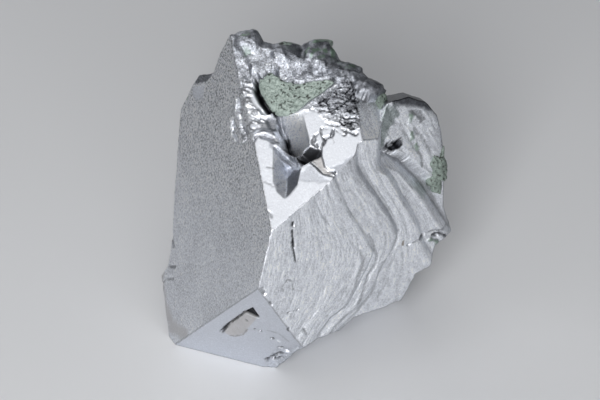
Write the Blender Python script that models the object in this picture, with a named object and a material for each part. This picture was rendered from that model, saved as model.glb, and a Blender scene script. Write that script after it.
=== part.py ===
"""A galena crystal with crusts of sphalerite, standing on its flat broken base.

Shapes are worked out in millimetres along the galena's three cube axes: X out of the left face, Y out of the
right face and Z out of the top face. An empty turns and lifts them to the way the specimen stands.
"""

import math

import bmesh
import bpy
from mathutils import Matrix, Vector, noise

MM = 0.001
CRYSTAL_TURN = [math.radians(angle) for angle in (9.1, -18.87, -153.88)]
CLEAR = 3.0  # how far a cutter stands out of the face that it cuts, in mm
PIT_CLEAR = 0.5  # the same for a cutter that widens outwards
CUT_MARGIN = 1e-5  # a point this near a cutting plane counts as on it
GAP = 0.3  # clear space round each sphalerite crust, in mm

# The galena's flat faces: a direction along the cube axes, and how far the face reaches along it.
LARGE_FACE = ((1, 1, 1), 0.0)
LOWER_FACE = ((1, 1, -1), 12.05)
RIGHT_FACE = ((0, 1, 0), 0.0)
LEFT_FACE = ((1, 0, 0), 0.0)
TOP_FACE = ((0, 0, 1), 28.8)
BASE = ((-0.3234, -0.1497, -0.9344), 38.35)
FACES = [
    LARGE_FACE,
    LOWER_FACE,
    RIGHT_FACE,
    LEFT_FACE,
    TOP_FACE,
    BASE,
    ((0, 1, 1), 16.8),  # the smooth grey face between the rippled top and the lobe
    ((-1, 0, 0), 46.4),  # back right
    ((-1, -0.15, 1), 50.0),  # where the top falls away behind the lobe
    ((-1, -1, 1), 62.0),  # rear octahedral face
    ((-1, -1, -1), 90.0),  # rear foot
]
BLANK = 60.0  # half the width of the block that the faces are cut on

# Where the left and right faces end, read across each face and up it.
LEFT_EDGE = [
    (-24.0, 35.0),
    (-30.4, 28.2),
    (-32.4, 23.5),
    (-33.0, 19.2),
    (-38.4, 16.2),
    (-40.2, 13.0),
    (-42.4, 7.0),
    (-41.0, 1.5),
    (-37.3, -11.4),
    (-35.0, -17.9),
    (-34.3, -23.8),
    (-36.0, -26.7),
    (-33.8, -29.6),
    (-29.0, -35.5),
    (-24.0, -44.0),
]
RIGHT_EDGE = [
    (4.0, -44.0),
    (11.3, -32.6),
    (14.9, -27.9),
    (19.1, -25.1),
    (23.9, -23.7),
    (26.5, -20.9),
    (36.8, -17.4),
    (38.7, -11.4),
    (41.7, -9.8),
    (41.8, -5.3),
    (45.1, -2.2),
    (42.0, 2.6),
    (38.3, 14.5),
    (34.6, 22.0),
    (30.5, 25.6),
    (24.0, 26.4),
    (22.0, 36.0),
]
RIGHT_EDGE_DEPTH = 4.0  # how deep in the right face its edge is read
LEFT_RUN = (0.1, 0.05)  # how far each edge moves across and up its face for each mm that it runs back
RIGHT_RUN = (0.64, -0.42)
RUN_BACK = 60.0

# Growth terraces of the right face: the depth of each tread, and its riser's foot across and up the face.
TERRACES = [
    (
        0.5,
        [
            (10.0, 14.0),
            (12.9, 9.3),
            (16.9, 4.0),
            (21.8, -0.9),
            (24.7, -4.6),
            (24.4, -7.9),
            (21.9, -16.4),
            (18.7, -19.1),
            (16.0, -23.5),
            (14.0, -32.0),
        ],
    ),
    (
        1.7,
        [
            (15.6, 18.0),
            (17.1, 13.2),
            (20.6, 9.6),
            (26.6, 3.9),
            (30.1, -0.9),
            (29.8, -4.4),
            (27.8, -12.7),
            (25.1, -18.4),
            (21.0, -22.8),
            (18.0, -32.0),
        ],
    ),
    (3.2, [(20.0, 24.0), (23.8, 13.3), (29.5, 7.4), (35.0, 1.3), (38.5, -4.0), (43.0, -8.5)]),
    (5.8, [(22.5, 26.0), (24.2, 14.7), (28.4, 13.2), (34.6, 8.5), (40.6, 3.2), (43.1, 0.4), (50.0, -6.0)]),
]
BEYOND = 64.0  # how far a cutter reaches past the edges
RISER_LEAN = 0.8  # mm that a riser leans back for each mm that it stands

# The lobe right of the deepest groove: its outline across the right face and up it, and how it runs back.
LOBE = [
    (23.4, 25.0),
    (25.6, 17.0),
    (29.0, 14.6),
    (35.6, 9.4),
    (38.6, 7.2),
    (40.4, 9.0),
    (39.4, 13.0),
    (36.6, 19.0),
    (34.4, 22.6),
    (30.8, 24.6),
    (27.0, 25.4),
]
LOBE_DEPTHS = (-4.4, -16.0)
LOBE_SHIFT = (6.2, -3.4)

# Hollows in the large octahedral face, across it and up it: the mouth, where the floor's middle lies and how
# deep, and the floor's width as a share of the mouth's.
HOLLOWS = {
    "hopper": (
        [
            (-5.5, 17.0),
            (-3.8, 11.2),
            (0.9, 12.2),
            (2.3, 15.8),
            (4.0, 18.2),
            (1.2, 18.6),
            (-1.2, 15.9),
            (-3.2, 18.6),
        ],
        (-0.4, 16.4, -5.5),
        0.25,
    ),
    "hopper_notch": (
        [(-3.7, 11.6), (-2.7, 8.2), (0.4, 6.9), (1.4, 9.6), (1.1, 12.4)],
        (-1.1, 12.2, -4.2),
        0.1,
    ),
    "pocket": (
        [
            (-11.6, 29.9),
            (-13.2, 28.3),
            (-12.9, 26.2),
            (-9.6, 23.0),
            (-6.7, 22.3),
            (-3.0, 24.2),
            (0.3, 28.6),
            (2.3, 33.0),
            (-1.7, 31.4),
            (-8.6, 29.4),
        ],
        (-6.0, 27.6, -5.0),
        0.75,
    ),
    "round_hollow": (
        [(-12.0, 30.4), (-11.2, 31.9), (-9.6, 31.6), (-8.4, 29.9), (-10.6, 29.0)],
        (-10.4, 30.2, -2.6),
        0.4,
    ),
}
# The shallow chip along the left of the lower octahedral face, and the round hole in the lobe.
CHIP = [
    (-7.2, -29.6),
    (-5.8, -25.0),
    (-3.7, -21.6),
    (-1.2, -17.4),
    (0.2, -19.3),
    (-0.7, -23.6),
    (-3.6, -28.5),
    (-6.0, -30.4),
]
CHIP_END = (-2.9, -23.4, -1.3)
CHIP_SHARE = 0.6
HOLE = (25.6, 16.2)
HOLE_RADIUS = 1.3
HOLE_DEPTH = 3.4
HOLE_SIDES = 8
HOLE_SHARE = 0.6

# Ledges right of the pocket: where each starts and ends across the large face, and how high it lies.
LEDGES = [(-2.2, 8.0, 22.9), (-0.8, 7.6, 25.0), (0.6, 7.2, 27.1), (1.8, 6.8, 29.2), (3.0, 6.2, 31.2)]
LEDGE_HEIGHT = 1.3
LEDGE_OUT = 0.7  # how far a ledge stands out
LEDGE_SHARE = 0.9  # its crest's size as a share of its foot's

# Knobs of the rough top: centre, half sizes along the cube axes, unevenness.
KNOBS = [
    ((-3.6, -27.6, 27.6), (3.0, 3.4, 2.6), 0.25),
    ((-9.5, -22.0, 27.4), (4.2, 3.6, 2.0), 0.3),
    ((-14.5, -19.0, 27.4), (4.4, 4.6, 3.6), 0.3),
    ((-17.0, -14.0, 27.2), (3.6, 4.0, 2.2), 0.3),
    ((-19.5, -9.0, 26.6), (3.4, 3.4, 1.8), 0.3),
]
REAR_STEPS = [
    ((-48.0, -44.0, -8.0), (-36.5, -30.0, 12.0)),
    ((-34.0, -46.0, -14.0), (-20.0, -35.5, 7.0)),
    ((-48.0, -31.0, 8.0), (-38.5, -20.0, 24.0)),
    ((-26.0, -40.0, 9.0), (-14.0, -31.0, 20.0)),
    ((-33.0, -28.0, 17.0), (-22.0, -17.0, 32.0)),
]

# The sphalerite crusts: centre, half sizes, unevenness.
CRUSTS = {
    "sphalerite_crust": ((-38.8, -5.8, 10.8), (2.8, 2.8, 6.0), 0.3),
    "sphalerite_notch": ((-22.6, -7.4, 23.6), (1.5, 1.7, 2.6), 0.4),
    "sphalerite_ridge_west": ((-8.6, -23.4, 29.4), (1.5, 1.2, 0.9), 0.4),
    "sphalerite_ridge_east": ((-15.4, -21.0, 31.0), (2.6, 1.5, 0.9), 0.4),
    "sphalerite_shoulder": ((-1.4, -41.6, 8.0), (1.1, 1.2, 1.6), 0.4),
}
LUMP_GRAIN = 1.7  # how closely a lump's unevenness is spaced, for each radius
FILLING_SINK = 0.9  # how far the pocket's filling lies below the face
FILLING_SHARE = 0.88  # the filling's width as a share of the pocket's
FILLING_FOOT = 0.7  # its foot's width as a share of its top's
FILLING_SHIFT = 0.8  # how much of the pocket's slant its foot follows
FILLING_GRAIN = 0.8  # how closely its unevenness is spaced, for each mm
FILLING_RELIEF = 0.5
FILLING_CUTS = 3

GALENA_COLOUR = (0.42, 0.43, 0.47)
GALENA_ROUGHNESS = 0.42
GALENA_METALLIC = 1.0
SPHALERITE_COLOUR = (0.30, 0.36, 0.31)
SPHALERITE_ROUGHNESS = 0.6


def face_axes(face, across):
    """Axes on a face: across it, up it and out of it, from the point of the face nearest the corner."""
    out = Vector(face[0]).normalized()
    right = Vector(across).normalized()
    axes = Matrix((right, out.cross(right), out)).transposed().to_4x4()
    axes.translation = out * face[1] / Vector(face[0]).length
    return axes


ON_LARGE = face_axes(LARGE_FACE, (-1, 1, 0))
ON_LOWER = face_axes(LOWER_FACE, (-1, 1, 0))
ON_RIGHT = face_axes(RIGHT_FACE, (-1, 0, 0))
ON_LEFT = face_axes(LEFT_FACE, (0, 1, 0))
ON_CUBE = Matrix.Identity(4)


def clear_scene():
    for item in list(bpy.data.objects):
        bpy.data.objects.remove(item, do_unlink=True)


def new_collection(name):
    group = bpy.data.collections.new(name)
    bpy.context.scene.collection.children.link(group)
    return group


def new_material(name, colour, roughness, metallic):
    material = bpy.data.materials.new(name)
    material.use_nodes = True
    shader = material.node_tree.nodes["Principled BSDF"]
    shader.inputs["Base Color"].default_value = (*colour, 1.0)
    shader.inputs["Roughness"].default_value = roughness
    shader.inputs["Metallic"].default_value = metallic
    material.diffuse_color = (*colour, 1.0)
    return material


def new_object(name, mesh, group, crystal):
    """Makes an object of a mesh in mm and ties it to the crystal's axes."""
    bmesh.ops.recalc_face_normals(mesh, faces=mesh.faces)
    bmesh.ops.scale(mesh, vec=(MM, MM, MM), verts=mesh.verts)
    data = bpy.data.meshes.new(name)
    mesh.to_mesh(data)
    mesh.free()
    item = bpy.data.objects.new(name, data)
    item.parent = crystal
    group.objects.link(item)
    return item


def cut_away(mesh, direction, reach):
    """Takes off what lies beyond a plane and closes the cut with one face."""
    outward = Vector(direction)
    everything = mesh.verts[:] + mesh.edges[:] + mesh.faces[:]
    cut = bmesh.ops.bisect_plane(
        mesh,
        geom=everything,
        dist=CUT_MARGIN,
        plane_co=outward * reach / outward.length_squared,
        plane_no=outward,
        clear_outer=True,
    )
    rim = [piece for piece in cut["geom_cut"] if isinstance(piece, bmesh.types.BMEdge)]
    if rim:
        bmesh.ops.contextual_create(mesh, geom=rim)


def block(axes, outline, start, end, shift=(0.0, 0.0), shrink=1.0):
    """A solid on a face from one height to another, its far end moved across the face and shrunk."""
    mesh = bmesh.new()
    near = mesh.faces.new([mesh.verts.new((x, y, start)) for x, y in outline])
    grown = bmesh.ops.extrude_face_region(mesh, geom=[near])["geom"]
    far = [piece for piece in grown if isinstance(piece, bmesh.types.BMVert)]
    middle = sum((vert.co for vert in far), Vector()) / len(far)
    for vert in far:
        vert.co = middle + (vert.co - middle) * shrink + Vector((*shift, end - start))
    bmesh.ops.transform(mesh, matrix=axes, verts=mesh.verts)
    return mesh


def pit(axes, outline, end, shrink):
    """A hollow's cutter, which narrows from its outline on the face to a small floor at its end point."""
    middle = [sum(values) / len(outline) for values in zip(*outline)]
    shift = (end[0] - middle[0], end[1] - middle[1])
    return block(axes, outline, PIT_CLEAR, end[2], shift, shrink)


def box(low, high):
    """A box between two corners along the cube axes."""
    outline = [(low[0], low[1]), (high[0], low[1]), (high[0], high[1]), (low[0], high[1])]
    return block(ON_CUBE, outline, low[2], high[2])


def lump(centre, radii, roughness, seed):
    """A rounded knob whose surface is uneven."""
    mesh = bmesh.new()
    bmesh.ops.create_icosphere(mesh, subdivisions=2, radius=1.0)
    for vert in mesh.verts:
        uneven = noise.noise(vert.co * LUMP_GRAIN + Vector((seed, 0, 0))) * roughness
        vert.co = Vector(centre) + Vector(radii) * (1 + uneven) * vert.co
    return mesh


def crystal_blank():
    """The galena's flat faces, cut on a plain block."""
    mesh = box((-BLANK, -BLANK, -BLANK), (BLANK, BLANK, BLANK))
    for direction, reach in FACES:
        cut_away(mesh, direction, reach)
    return mesh


def edge_cutters():
    """What lies beyond the uneven outer edges of the left and right faces, all the way back."""
    depth = CLEAR + RUN_BACK
    outer = [(-BEYOND, -BEYOND), (-BEYOND, BEYOND)]
    shift = [step * depth for step in LEFT_RUN]
    yield "left_edge", block(ON_LEFT, LEFT_EDGE + outer, CLEAR, -RUN_BACK, shift)
    ahead = CLEAR + RIGHT_EDGE_DEPTH
    outline = [(x - RIGHT_RUN[0] * ahead, y - RIGHT_RUN[1] * ahead) for x, y in RIGHT_EDGE]
    outer = [(BEYOND, BEYOND), (BEYOND, -BEYOND)]
    shift = [step * depth for step in RIGHT_RUN]
    yield "right_edge", block(ON_RIGHT, outline + outer, CLEAR, -RUN_BACK, shift)


def change(item, operation, shapes, group, crystal):
    """Joins or cuts each named shape in turn."""
    for name, mesh in shapes:
        tool = new_object(name, mesh, group, crystal)
        tool.hide_render = True
        tool.display_type = "WIRE"
        boolean = item.modifiers.new(name, "BOOLEAN")
        boolean.operation = operation
        boolean.solver = "EXACT"
        boolean.object = tool


def terrace_cutters():
    for number, (depth, foot) in enumerate(TERRACES):
        rise = depth + CLEAR
        outline = foot + [(BEYOND, foot[-1][1]), (BEYOND, foot[0][1])]
        yield f"terrace_{number}", block(ON_RIGHT, outline, -depth, CLEAR, (-RISER_LEAN * rise, 0))


def ledge_bars():
    tall = LEDGE_HEIGHT
    for number, (left, right, low) in enumerate(LEDGES):
        outline = [(left, low), (right, low - tall / 2), (right + tall, low + tall / 2), (left, low + tall)]
        yield f"ledge_{number}", block(ON_LARGE, outline, -tall, LEDGE_OUT, (0, tall / 3), LEDGE_SHARE)


def knobs():
    for number, (centre, radii, unevenness) in enumerate(KNOBS):
        yield f"knob_{number}", lump(centre, radii, unevenness, number)


def hollow_cutters():
    for name, (mouth, end, share) in HOLLOWS.items():
        yield name, pit(ON_LARGE, mouth, end, share)
    yield "chip", pit(ON_LOWER, CHIP, CHIP_END, CHIP_SHARE)
    ring = [
        (HOLE[0] + HOLE_RADIUS * math.cos(turn), HOLE[1] + HOLE_RADIUS * math.sin(turn))
        for turn in (math.tau * step / HOLE_SIDES for step in range(HOLE_SIDES))
    ]
    floor = LOBE_DEPTHS[0] - HOLE_DEPTH
    yield "hole", block(ON_RIGHT, ring, CLEAR, floor, (-HOLE_RADIUS, 0), HOLE_SHARE)


def sockets():
    """Room for each crust, larger than the crust all round."""
    for number, (name, (centre, radii, unevenness)) in enumerate(CRUSTS.items()):
        roomy = [radius + GAP for radius in radii]
        yield f"socket_{name}", lump(centre, roomy, unevenness, number)


def galena(group, cutters, crystal):
    item = new_object("galena", crystal_blank(), group, crystal)
    change(item, "DIFFERENCE", [*edge_cutters(), *terrace_cutters()], cutters, crystal)
    lobe = ("lobe", block(ON_RIGHT, LOBE, *LOBE_DEPTHS, LOBE_SHIFT))
    added = [lobe, *ledge_bars(), *knobs()]
    change(item, "UNION", added, cutters, crystal)
    steps = [(f"rear_step_{number}", box(*corners)) for number, corners in enumerate(REAR_STEPS)]
    change(item, "DIFFERENCE", [*hollow_cutters(), *sockets(), *steps], cutters, crystal)
    return item


def pocket_filling():
    """The pocket's granular filling: its outline drawn in, its upper side uneven."""
    mouth, pocket_end, _ = HOLLOWS["pocket"]
    middle = [sum(values) / len(mouth) for values in zip(*mouth)]
    drawn_in = [[at + (value - at) * FILLING_SHARE for at, value in zip(middle, point)] for point in mouth]
    shift = [(pocket_end[axis] - middle[axis]) * FILLING_SHIFT for axis in (0, 1)]
    mesh = block(ON_CUBE, drawn_in, -FILLING_SINK, pocket_end[2] + GAP, shift, FILLING_FOOT)
    bmesh.ops.triangulate(mesh, faces=mesh.faces)
    bmesh.ops.subdivide_edges(mesh, edges=mesh.edges, cuts=FILLING_CUTS, use_grid_fill=True)
    for vert in mesh.verts:
        if vert.co.z > -FILLING_SINK - CUT_MARGIN:
            vert.co.z += noise.noise(vert.co * FILLING_GRAIN) * FILLING_RELIEF
    bmesh.ops.transform(mesh, matrix=ON_LARGE, verts=mesh.verts)
    return mesh


def stand(crystal, item):
    """Lifts the turned crystal so that the middle of its box stands on the origin."""
    bpy.context.view_layer.update()
    solid = item.evaluated_get(bpy.context.evaluated_depsgraph_get())
    corners = [solid.matrix_world @ vert.co for vert in solid.data.vertices]
    low = [min(corner[axis] for corner in corners) for axis in range(3)]
    high = [max(corner[axis] for corner in corners) for axis in range(3)]
    crystal.location = (-(low[0] + high[0]) / 2, -(low[1] + high[1]) / 2, -low[2])


def main():
    clear_scene()
    group = new_collection("galena_with_sphalerite")
    cutters = new_collection("cutters")
    crystal = bpy.data.objects.new("crystal_axes", None)
    crystal.rotation_euler = CRYSTAL_TURN
    group.objects.link(crystal)
    ore = new_material("galena", GALENA_COLOUR, GALENA_ROUGHNESS, GALENA_METALLIC)
    crust = new_material("sphalerite", SPHALERITE_COLOUR, SPHALERITE_ROUGHNESS, 0.0)
    body = galena(group, cutters, crystal)
    body.data.materials.append(ore)
    filling = new_object("sphalerite_pocket", pocket_filling(), group, crystal)
    filling.data.materials.append(crust)
    for number, (name, (centre, radii, unevenness)) in enumerate(CRUSTS.items()):
        item = new_object(name, lump(centre, radii, unevenness, number), group, crystal)
        item.data.materials.append(crust)
    stand(crystal, body)


main()
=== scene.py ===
import math

import bpy
import numpy as np
from mathutils import Euler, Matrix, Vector


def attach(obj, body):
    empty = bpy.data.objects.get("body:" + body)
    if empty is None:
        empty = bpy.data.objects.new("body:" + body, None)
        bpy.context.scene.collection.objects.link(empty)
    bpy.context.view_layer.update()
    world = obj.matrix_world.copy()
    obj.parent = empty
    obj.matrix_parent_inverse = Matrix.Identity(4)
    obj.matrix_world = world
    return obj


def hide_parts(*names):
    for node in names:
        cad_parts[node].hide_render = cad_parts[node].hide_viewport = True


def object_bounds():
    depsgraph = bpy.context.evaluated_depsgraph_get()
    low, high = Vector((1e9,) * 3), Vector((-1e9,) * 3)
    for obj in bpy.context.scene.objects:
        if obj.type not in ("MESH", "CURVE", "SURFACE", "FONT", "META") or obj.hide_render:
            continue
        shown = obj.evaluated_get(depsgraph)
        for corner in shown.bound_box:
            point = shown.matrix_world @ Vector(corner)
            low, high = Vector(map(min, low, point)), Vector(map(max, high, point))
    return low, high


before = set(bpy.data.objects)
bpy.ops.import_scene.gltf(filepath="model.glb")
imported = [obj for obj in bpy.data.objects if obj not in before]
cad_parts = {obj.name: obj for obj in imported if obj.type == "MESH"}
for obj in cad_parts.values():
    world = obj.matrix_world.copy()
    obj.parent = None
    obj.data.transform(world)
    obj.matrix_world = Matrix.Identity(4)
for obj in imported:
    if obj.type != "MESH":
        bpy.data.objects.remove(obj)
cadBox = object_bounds()
print("frame loaded")

mm = 0.001
crystal = {
    "turn": (9.1, -18.87, -153.88),  # degrees about X, Y and Z, from the cube axes to the way that it stands
    "place": (-6.483, -19.806, 38.349),  # mm: where the corner of the left, right and large faces comes
}
turn = np.array(Euler([math.radians(angle) for angle in crystal["turn"]]).to_matrix())


def ease(value, low, high):
    # Rises from 0 at low to 1 at high along the curve t*t*(3 - 2t).
    t = np.clip((value - low) / (high - low), 0, 1)
    return t * t * (3 - 2 * t)


def valueNoise(x, y, seed):
    # A fixed random number at each whole-number point, blended between them by a smooth curve, from -1 to 1.
    table = np.random.default_rng(seed).uniform(-1, 1, (256, 256))
    column, row = np.floor(x).astype(int), np.floor(y).astype(int)
    fx, fy = x - column, y - row
    fx = fx * fx * fx * (fx * (fx * 6 - 15) + 10)
    fy = fy * fy * fy * (fy * (fy * 6 - 15) + 10)
    c0, c1, r0, r1 = column & 255, (column + 1) & 255, row & 255, (row + 1) & 255
    low = table[c0, r0] * (1 - fx) + table[c1, r0] * fx
    high = table[c0, r1] * (1 - fx) + table[c1, r1] * fx
    return low * (1 - fy) + high * fy


def fractal(x, y, size, seed, octaves=4, gain=0.5):
    # Value noise with lumps of one size in mm, then of half that size at a share of the height, and so on.
    total = 0
    for octave in range(octaves):
        scale = 2**octave / size
        total = total + valueNoise(x * scale + 17.3 * octave, y * scale + 9.1 * octave,
                                   seed + octave) * gain**octave
    return total / sum(gain**octave for octave in range(octaves))


def solidNoise(points, size, seed):
    # A fixed random number at each corner of a cubic grid, blended along its three axes by a smooth curve.
    table = np.random.default_rng(seed).uniform(-1, 1, (64, 64, 64))
    corner = np.floor(points / size).astype(int)
    x, y, z = (points / size - corner).T
    x, y, z = (part * part * (3 - 2 * part) for part in (x, y, z))
    total = 0
    for i, shareX in ((0, 1 - x), (1, x)):
        for j, shareY in ((0, 1 - y), (1, y)):
            for k, shareZ in ((0, 1 - z), (1, z)):
                cell = (corner + np.array((i, j, k))) & 63
                total = total + table[cell[:, 0], cell[:, 1], cell[:, 2]] * shareX * shareY * shareZ
    return 1.5 * total


def sideOf(line, x, y):
    # Signed distance to a line of straight runs: to the nearest run, and positive on the right of it.
    signed = np.zeros_like(x)
    nearest = np.full_like(x, np.inf)
    for (x0, y0), (x1, y1) in zip(line[:-1], line[1:]):
        runX, runY = x1 - x0, y1 - y0
        length = math.hypot(runX, runY)
        along = np.clip(((x - x0) * runX + (y - y0) * runY) / length**2, 0, 1)
        offX, offY = x - x0 - along * runX, y - y0 - along * runY
        right = (offX * runY - offY * runX) / length
        distance = np.hypot(offX, offY)
        score = distance - 1e-3 * np.abs(right)
        nearer = score < nearest
        signed = np.where(nearer, np.copysign(distance, right), signed)
        nearest = np.minimum(nearest, score)
    return signed


def insideOf(outline, x, y):
    # Signed distance to a closed outline, positive inside.
    ends = outline[1:] + outline[:1]
    area = sum(x0 * y1 - x1 * y0 for (x0, y0), (x1, y1) in zip(outline, ends))
    return -math.copysign(1, area) * sideOf(outline + outline[:1], x, y)


def pit(x, y, mouth, end, floor):
    # Straight walls from a convex mouth, given anticlockwise, to a floor of a smaller size about the end
    # point. The depth share is the least, over the walls, of the room left of the wall against its run.
    mouth = np.array(mouth)
    middle = mouth.mean(0)
    slant = np.array(end) - middle
    share = np.ones_like(x)
    for start, stop in zip(mouth, np.roll(mouth, -1, 0)):
        run = (stop - start) / np.linalg.norm(stop - start)
        reach = run[1] * (start - middle)[0] - run[0] * (start - middle)[1]
        room = reach - run[1] * (x - middle[0]) + run[0] * (y - middle[1])
        wall = reach * (1 - floor) - run[1] * slant[0] + run[0] * slant[1]
        share = np.minimum(share, room / max(wall, 0.05))
    return np.clip(share, 0, 1)


def softMax(first, second, blend):
    # The larger of two, with the crease between them rounded over a blend.
    near = np.clip(1 - np.abs(first - second) / blend, 0, None)
    return np.maximum(first, second) + near * near * blend / 4


def makeFace(direction, reach, across, span, step, shape):
    # A flat plane that faces a direction at a reach from the corner, with a map of heights and finishes over
    # it. Its own axes are across, up and out. The shape function fills the maps over a grid of the span, in
    # steps of mm.
    length = np.linalg.norm(direction)
    out = np.array(direction) / length
    right = np.array(across) / np.linalg.norm(across)
    face = {"out": out, "reach": reach / length, "right": right, "up": np.cross(out, right), "slide": (0, 0)}
    return fillMaps(face, span, step, shape)


def makeEdge(across, up, slide, outline, span, step, wobble):
    # What lies beyond an outline that runs straight back: its height map is the distance inside the outline.
    face = {"out": np.zeros(3), "reach": 0.0, "right": np.array(across, float), "up": np.array(up, float)}
    face["slide"] = slide

    def shape(x, y):
        rough = wobble * fractal(x, y, 2.2, 71, 4, 0.6)
        # Past 16 mm across and 20 mm up, painted shade darkens the edge.
        return {"height": insideOf(outline, x, y) + rough, "tone": 0.4 * fractal(x, y, 0.9, 72, 3, 0.7),
                "grit": 0.8 + 0 * x, "shine": 0.2 + 0 * x, "grime": 0.75 * ease(y, 20, 23) * ease(x, 16, 21)}

    return fillMaps(face, span, step, shape)


def fillMaps(face, span, step, shape):
    # Works out the shape at every grid point and keeps the grid's corner, its step and the lowest height.
    left, right, low, high = span
    x, y = np.meshgrid(np.arange(left, right, step), np.arange(low, high, step), indexing="ij")
    face["maps"] = {name: np.ascontiguousarray(value, np.float32) for name, value in shape(x, y).items()}
    face["low"], face["step"], face["lowest"] = (left, low), step, float(face["maps"]["height"].min())
    return face


def readMap(face, names, points):
    # Reads the face's maps between their grid points, by how far across and up the face each point lies.
    across = points @ face["right"] + face["slide"][0]
    up = points @ face["up"] + face["slide"][1]
    size = face["maps"]["height"].shape
    i = np.clip((across - face["low"][0]) / face["step"], 0, size[0] - 1.001)
    j = np.clip((up - face["low"][1]) / face["step"], 0, size[1] - 1.001)
    i0, j0 = i.astype(int), j.astype(int)
    fi, fj = i - i0, j - j0
    found = []
    for name in names:
        grid = face["maps"].get(name)
        if grid is None:
            found.append(np.zeros(len(points)))
            continue
        low = grid[i0, j0] * (1 - fi) + grid[i0 + 1, j0] * fi
        high = grid[i0, j0 + 1] * (1 - fi) + grid[i0 + 1, j0 + 1] * fi
        found.append(low * (1 - fj) + high * fj)
    return found


def standing(face, points):
    # How far each point stands out of the face's surface.
    return points @ face["out"] - face["reach"] - readMap(face, ["height"], points)[0]


def ledges(x, y, period, seed, start=0.55):
    # Treads that climb slowly up the face and drop at a short riser. The lines that they follow are bent by
    # noise and broken into lenses. Gives the height in mm and how far into a riser each point is, from 0 to
    # 1.
    bend = 1.5 * fractal(x * 0.4, y, 2.4, seed, 4, 0.6)
    phase = (y + bend) / period
    part = phase - np.floor(phase)
    drop = ease(part, start, 0.97)
    swell = 0.65 + 0.35 * valueNoise(x * 0.8 / period, np.floor(phase) * 7.3, seed + 9)
    return 0.34 * period * swell * (part - drop), 4 * drop * (1 - drop) * swell


def plateaus(x, y, size, rise, step, seed, start=0.6):
    # Noise of one lump size and height cut into flat levels a step apart, with short risers between them.
    # Gives the height in mm and how far into a riser each point is.
    level = rise * fractal(x, y, size, seed, 4, 0.5) / step
    part = level - np.floor(level)
    climb = ease(part, start, 1)
    return step * (np.floor(level) + climb), 4 * climb * (1 - climb)


# The finishes of a point: tone lightens it; shine goes from etched to fresh metal; the dark layer, stain and
# dust are layers of dark, beige and green, the dark one mostly painted shade in hollows, cracks, on risers
# and along creases, and partly grime; grit and fibre are the strengths of its grains and threads; and growth
# counts growth lines.
finishes = ["tone", "shine", "grime", "stain", "dust", "grit", "fibre", "growth"]


def band(points, wide, **finish):
    # A mark along a line. It is full within a quarter of its width on each side and fades out by the width.
    return {"line": points, "wide": wide, **finish}


def patch(points, **finish):
    # A mark over an area. It fades out inside the outline, over its softness.
    return {"area": points, **finish}


def blend(maps, share, values):
    # Moves each named map to its value by the share.
    for name, value in values.items():
        maps[name] = maps.get(name, 0) * (1 - share) + value * share


def atLeast(maps, name, value):
    # Raises a map to the value wherever it is lower.
    maps[name] = np.maximum(maps[name], value)


def paint(maps, x, y, marks, seed):
    # Inside a mark's ragged area, or near its line, the height sinks and each finish moves to the mark's
    # value.
    ragged = fractal(x, y, 0.9, seed, 3, 0.6)
    for mark in marks:
        rough = ragged * mark.get("rough", 0.25)
        if "line" in mark:
            share = 1 - ease(np.abs(sideOf(mark["line"], x, y)) + rough, 0.25 * mark["wide"], mark["wide"])
        else:
            share = ease(insideOf(mark["area"], x, y) + rough, 0, mark.get("soft", 0.35))
        maps["height"] = maps["height"] - mark.get("sink", 0) * share
        blend(maps, share, {name: mark[name] for name in finishes if name in mark})
    return maps


# across the right face and up it: the hole between it and the lobe, and the valley that runs on from there
hole = [(23.8, 16.2), (24.7, 17.4), (26.2, 17.4), (27.6, 18.4), (28.3, 16.2), (26.6, 14.4), (24.8, 14.4)]
valley = [(23.3, 15.6), (25.4, 14.6), (28.7, 12.9), (32.2, 10.4), (34.8, 8.6), (37.7, 6.2), (41.8, 1.8),
          (45.1, -1.5)]

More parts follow.
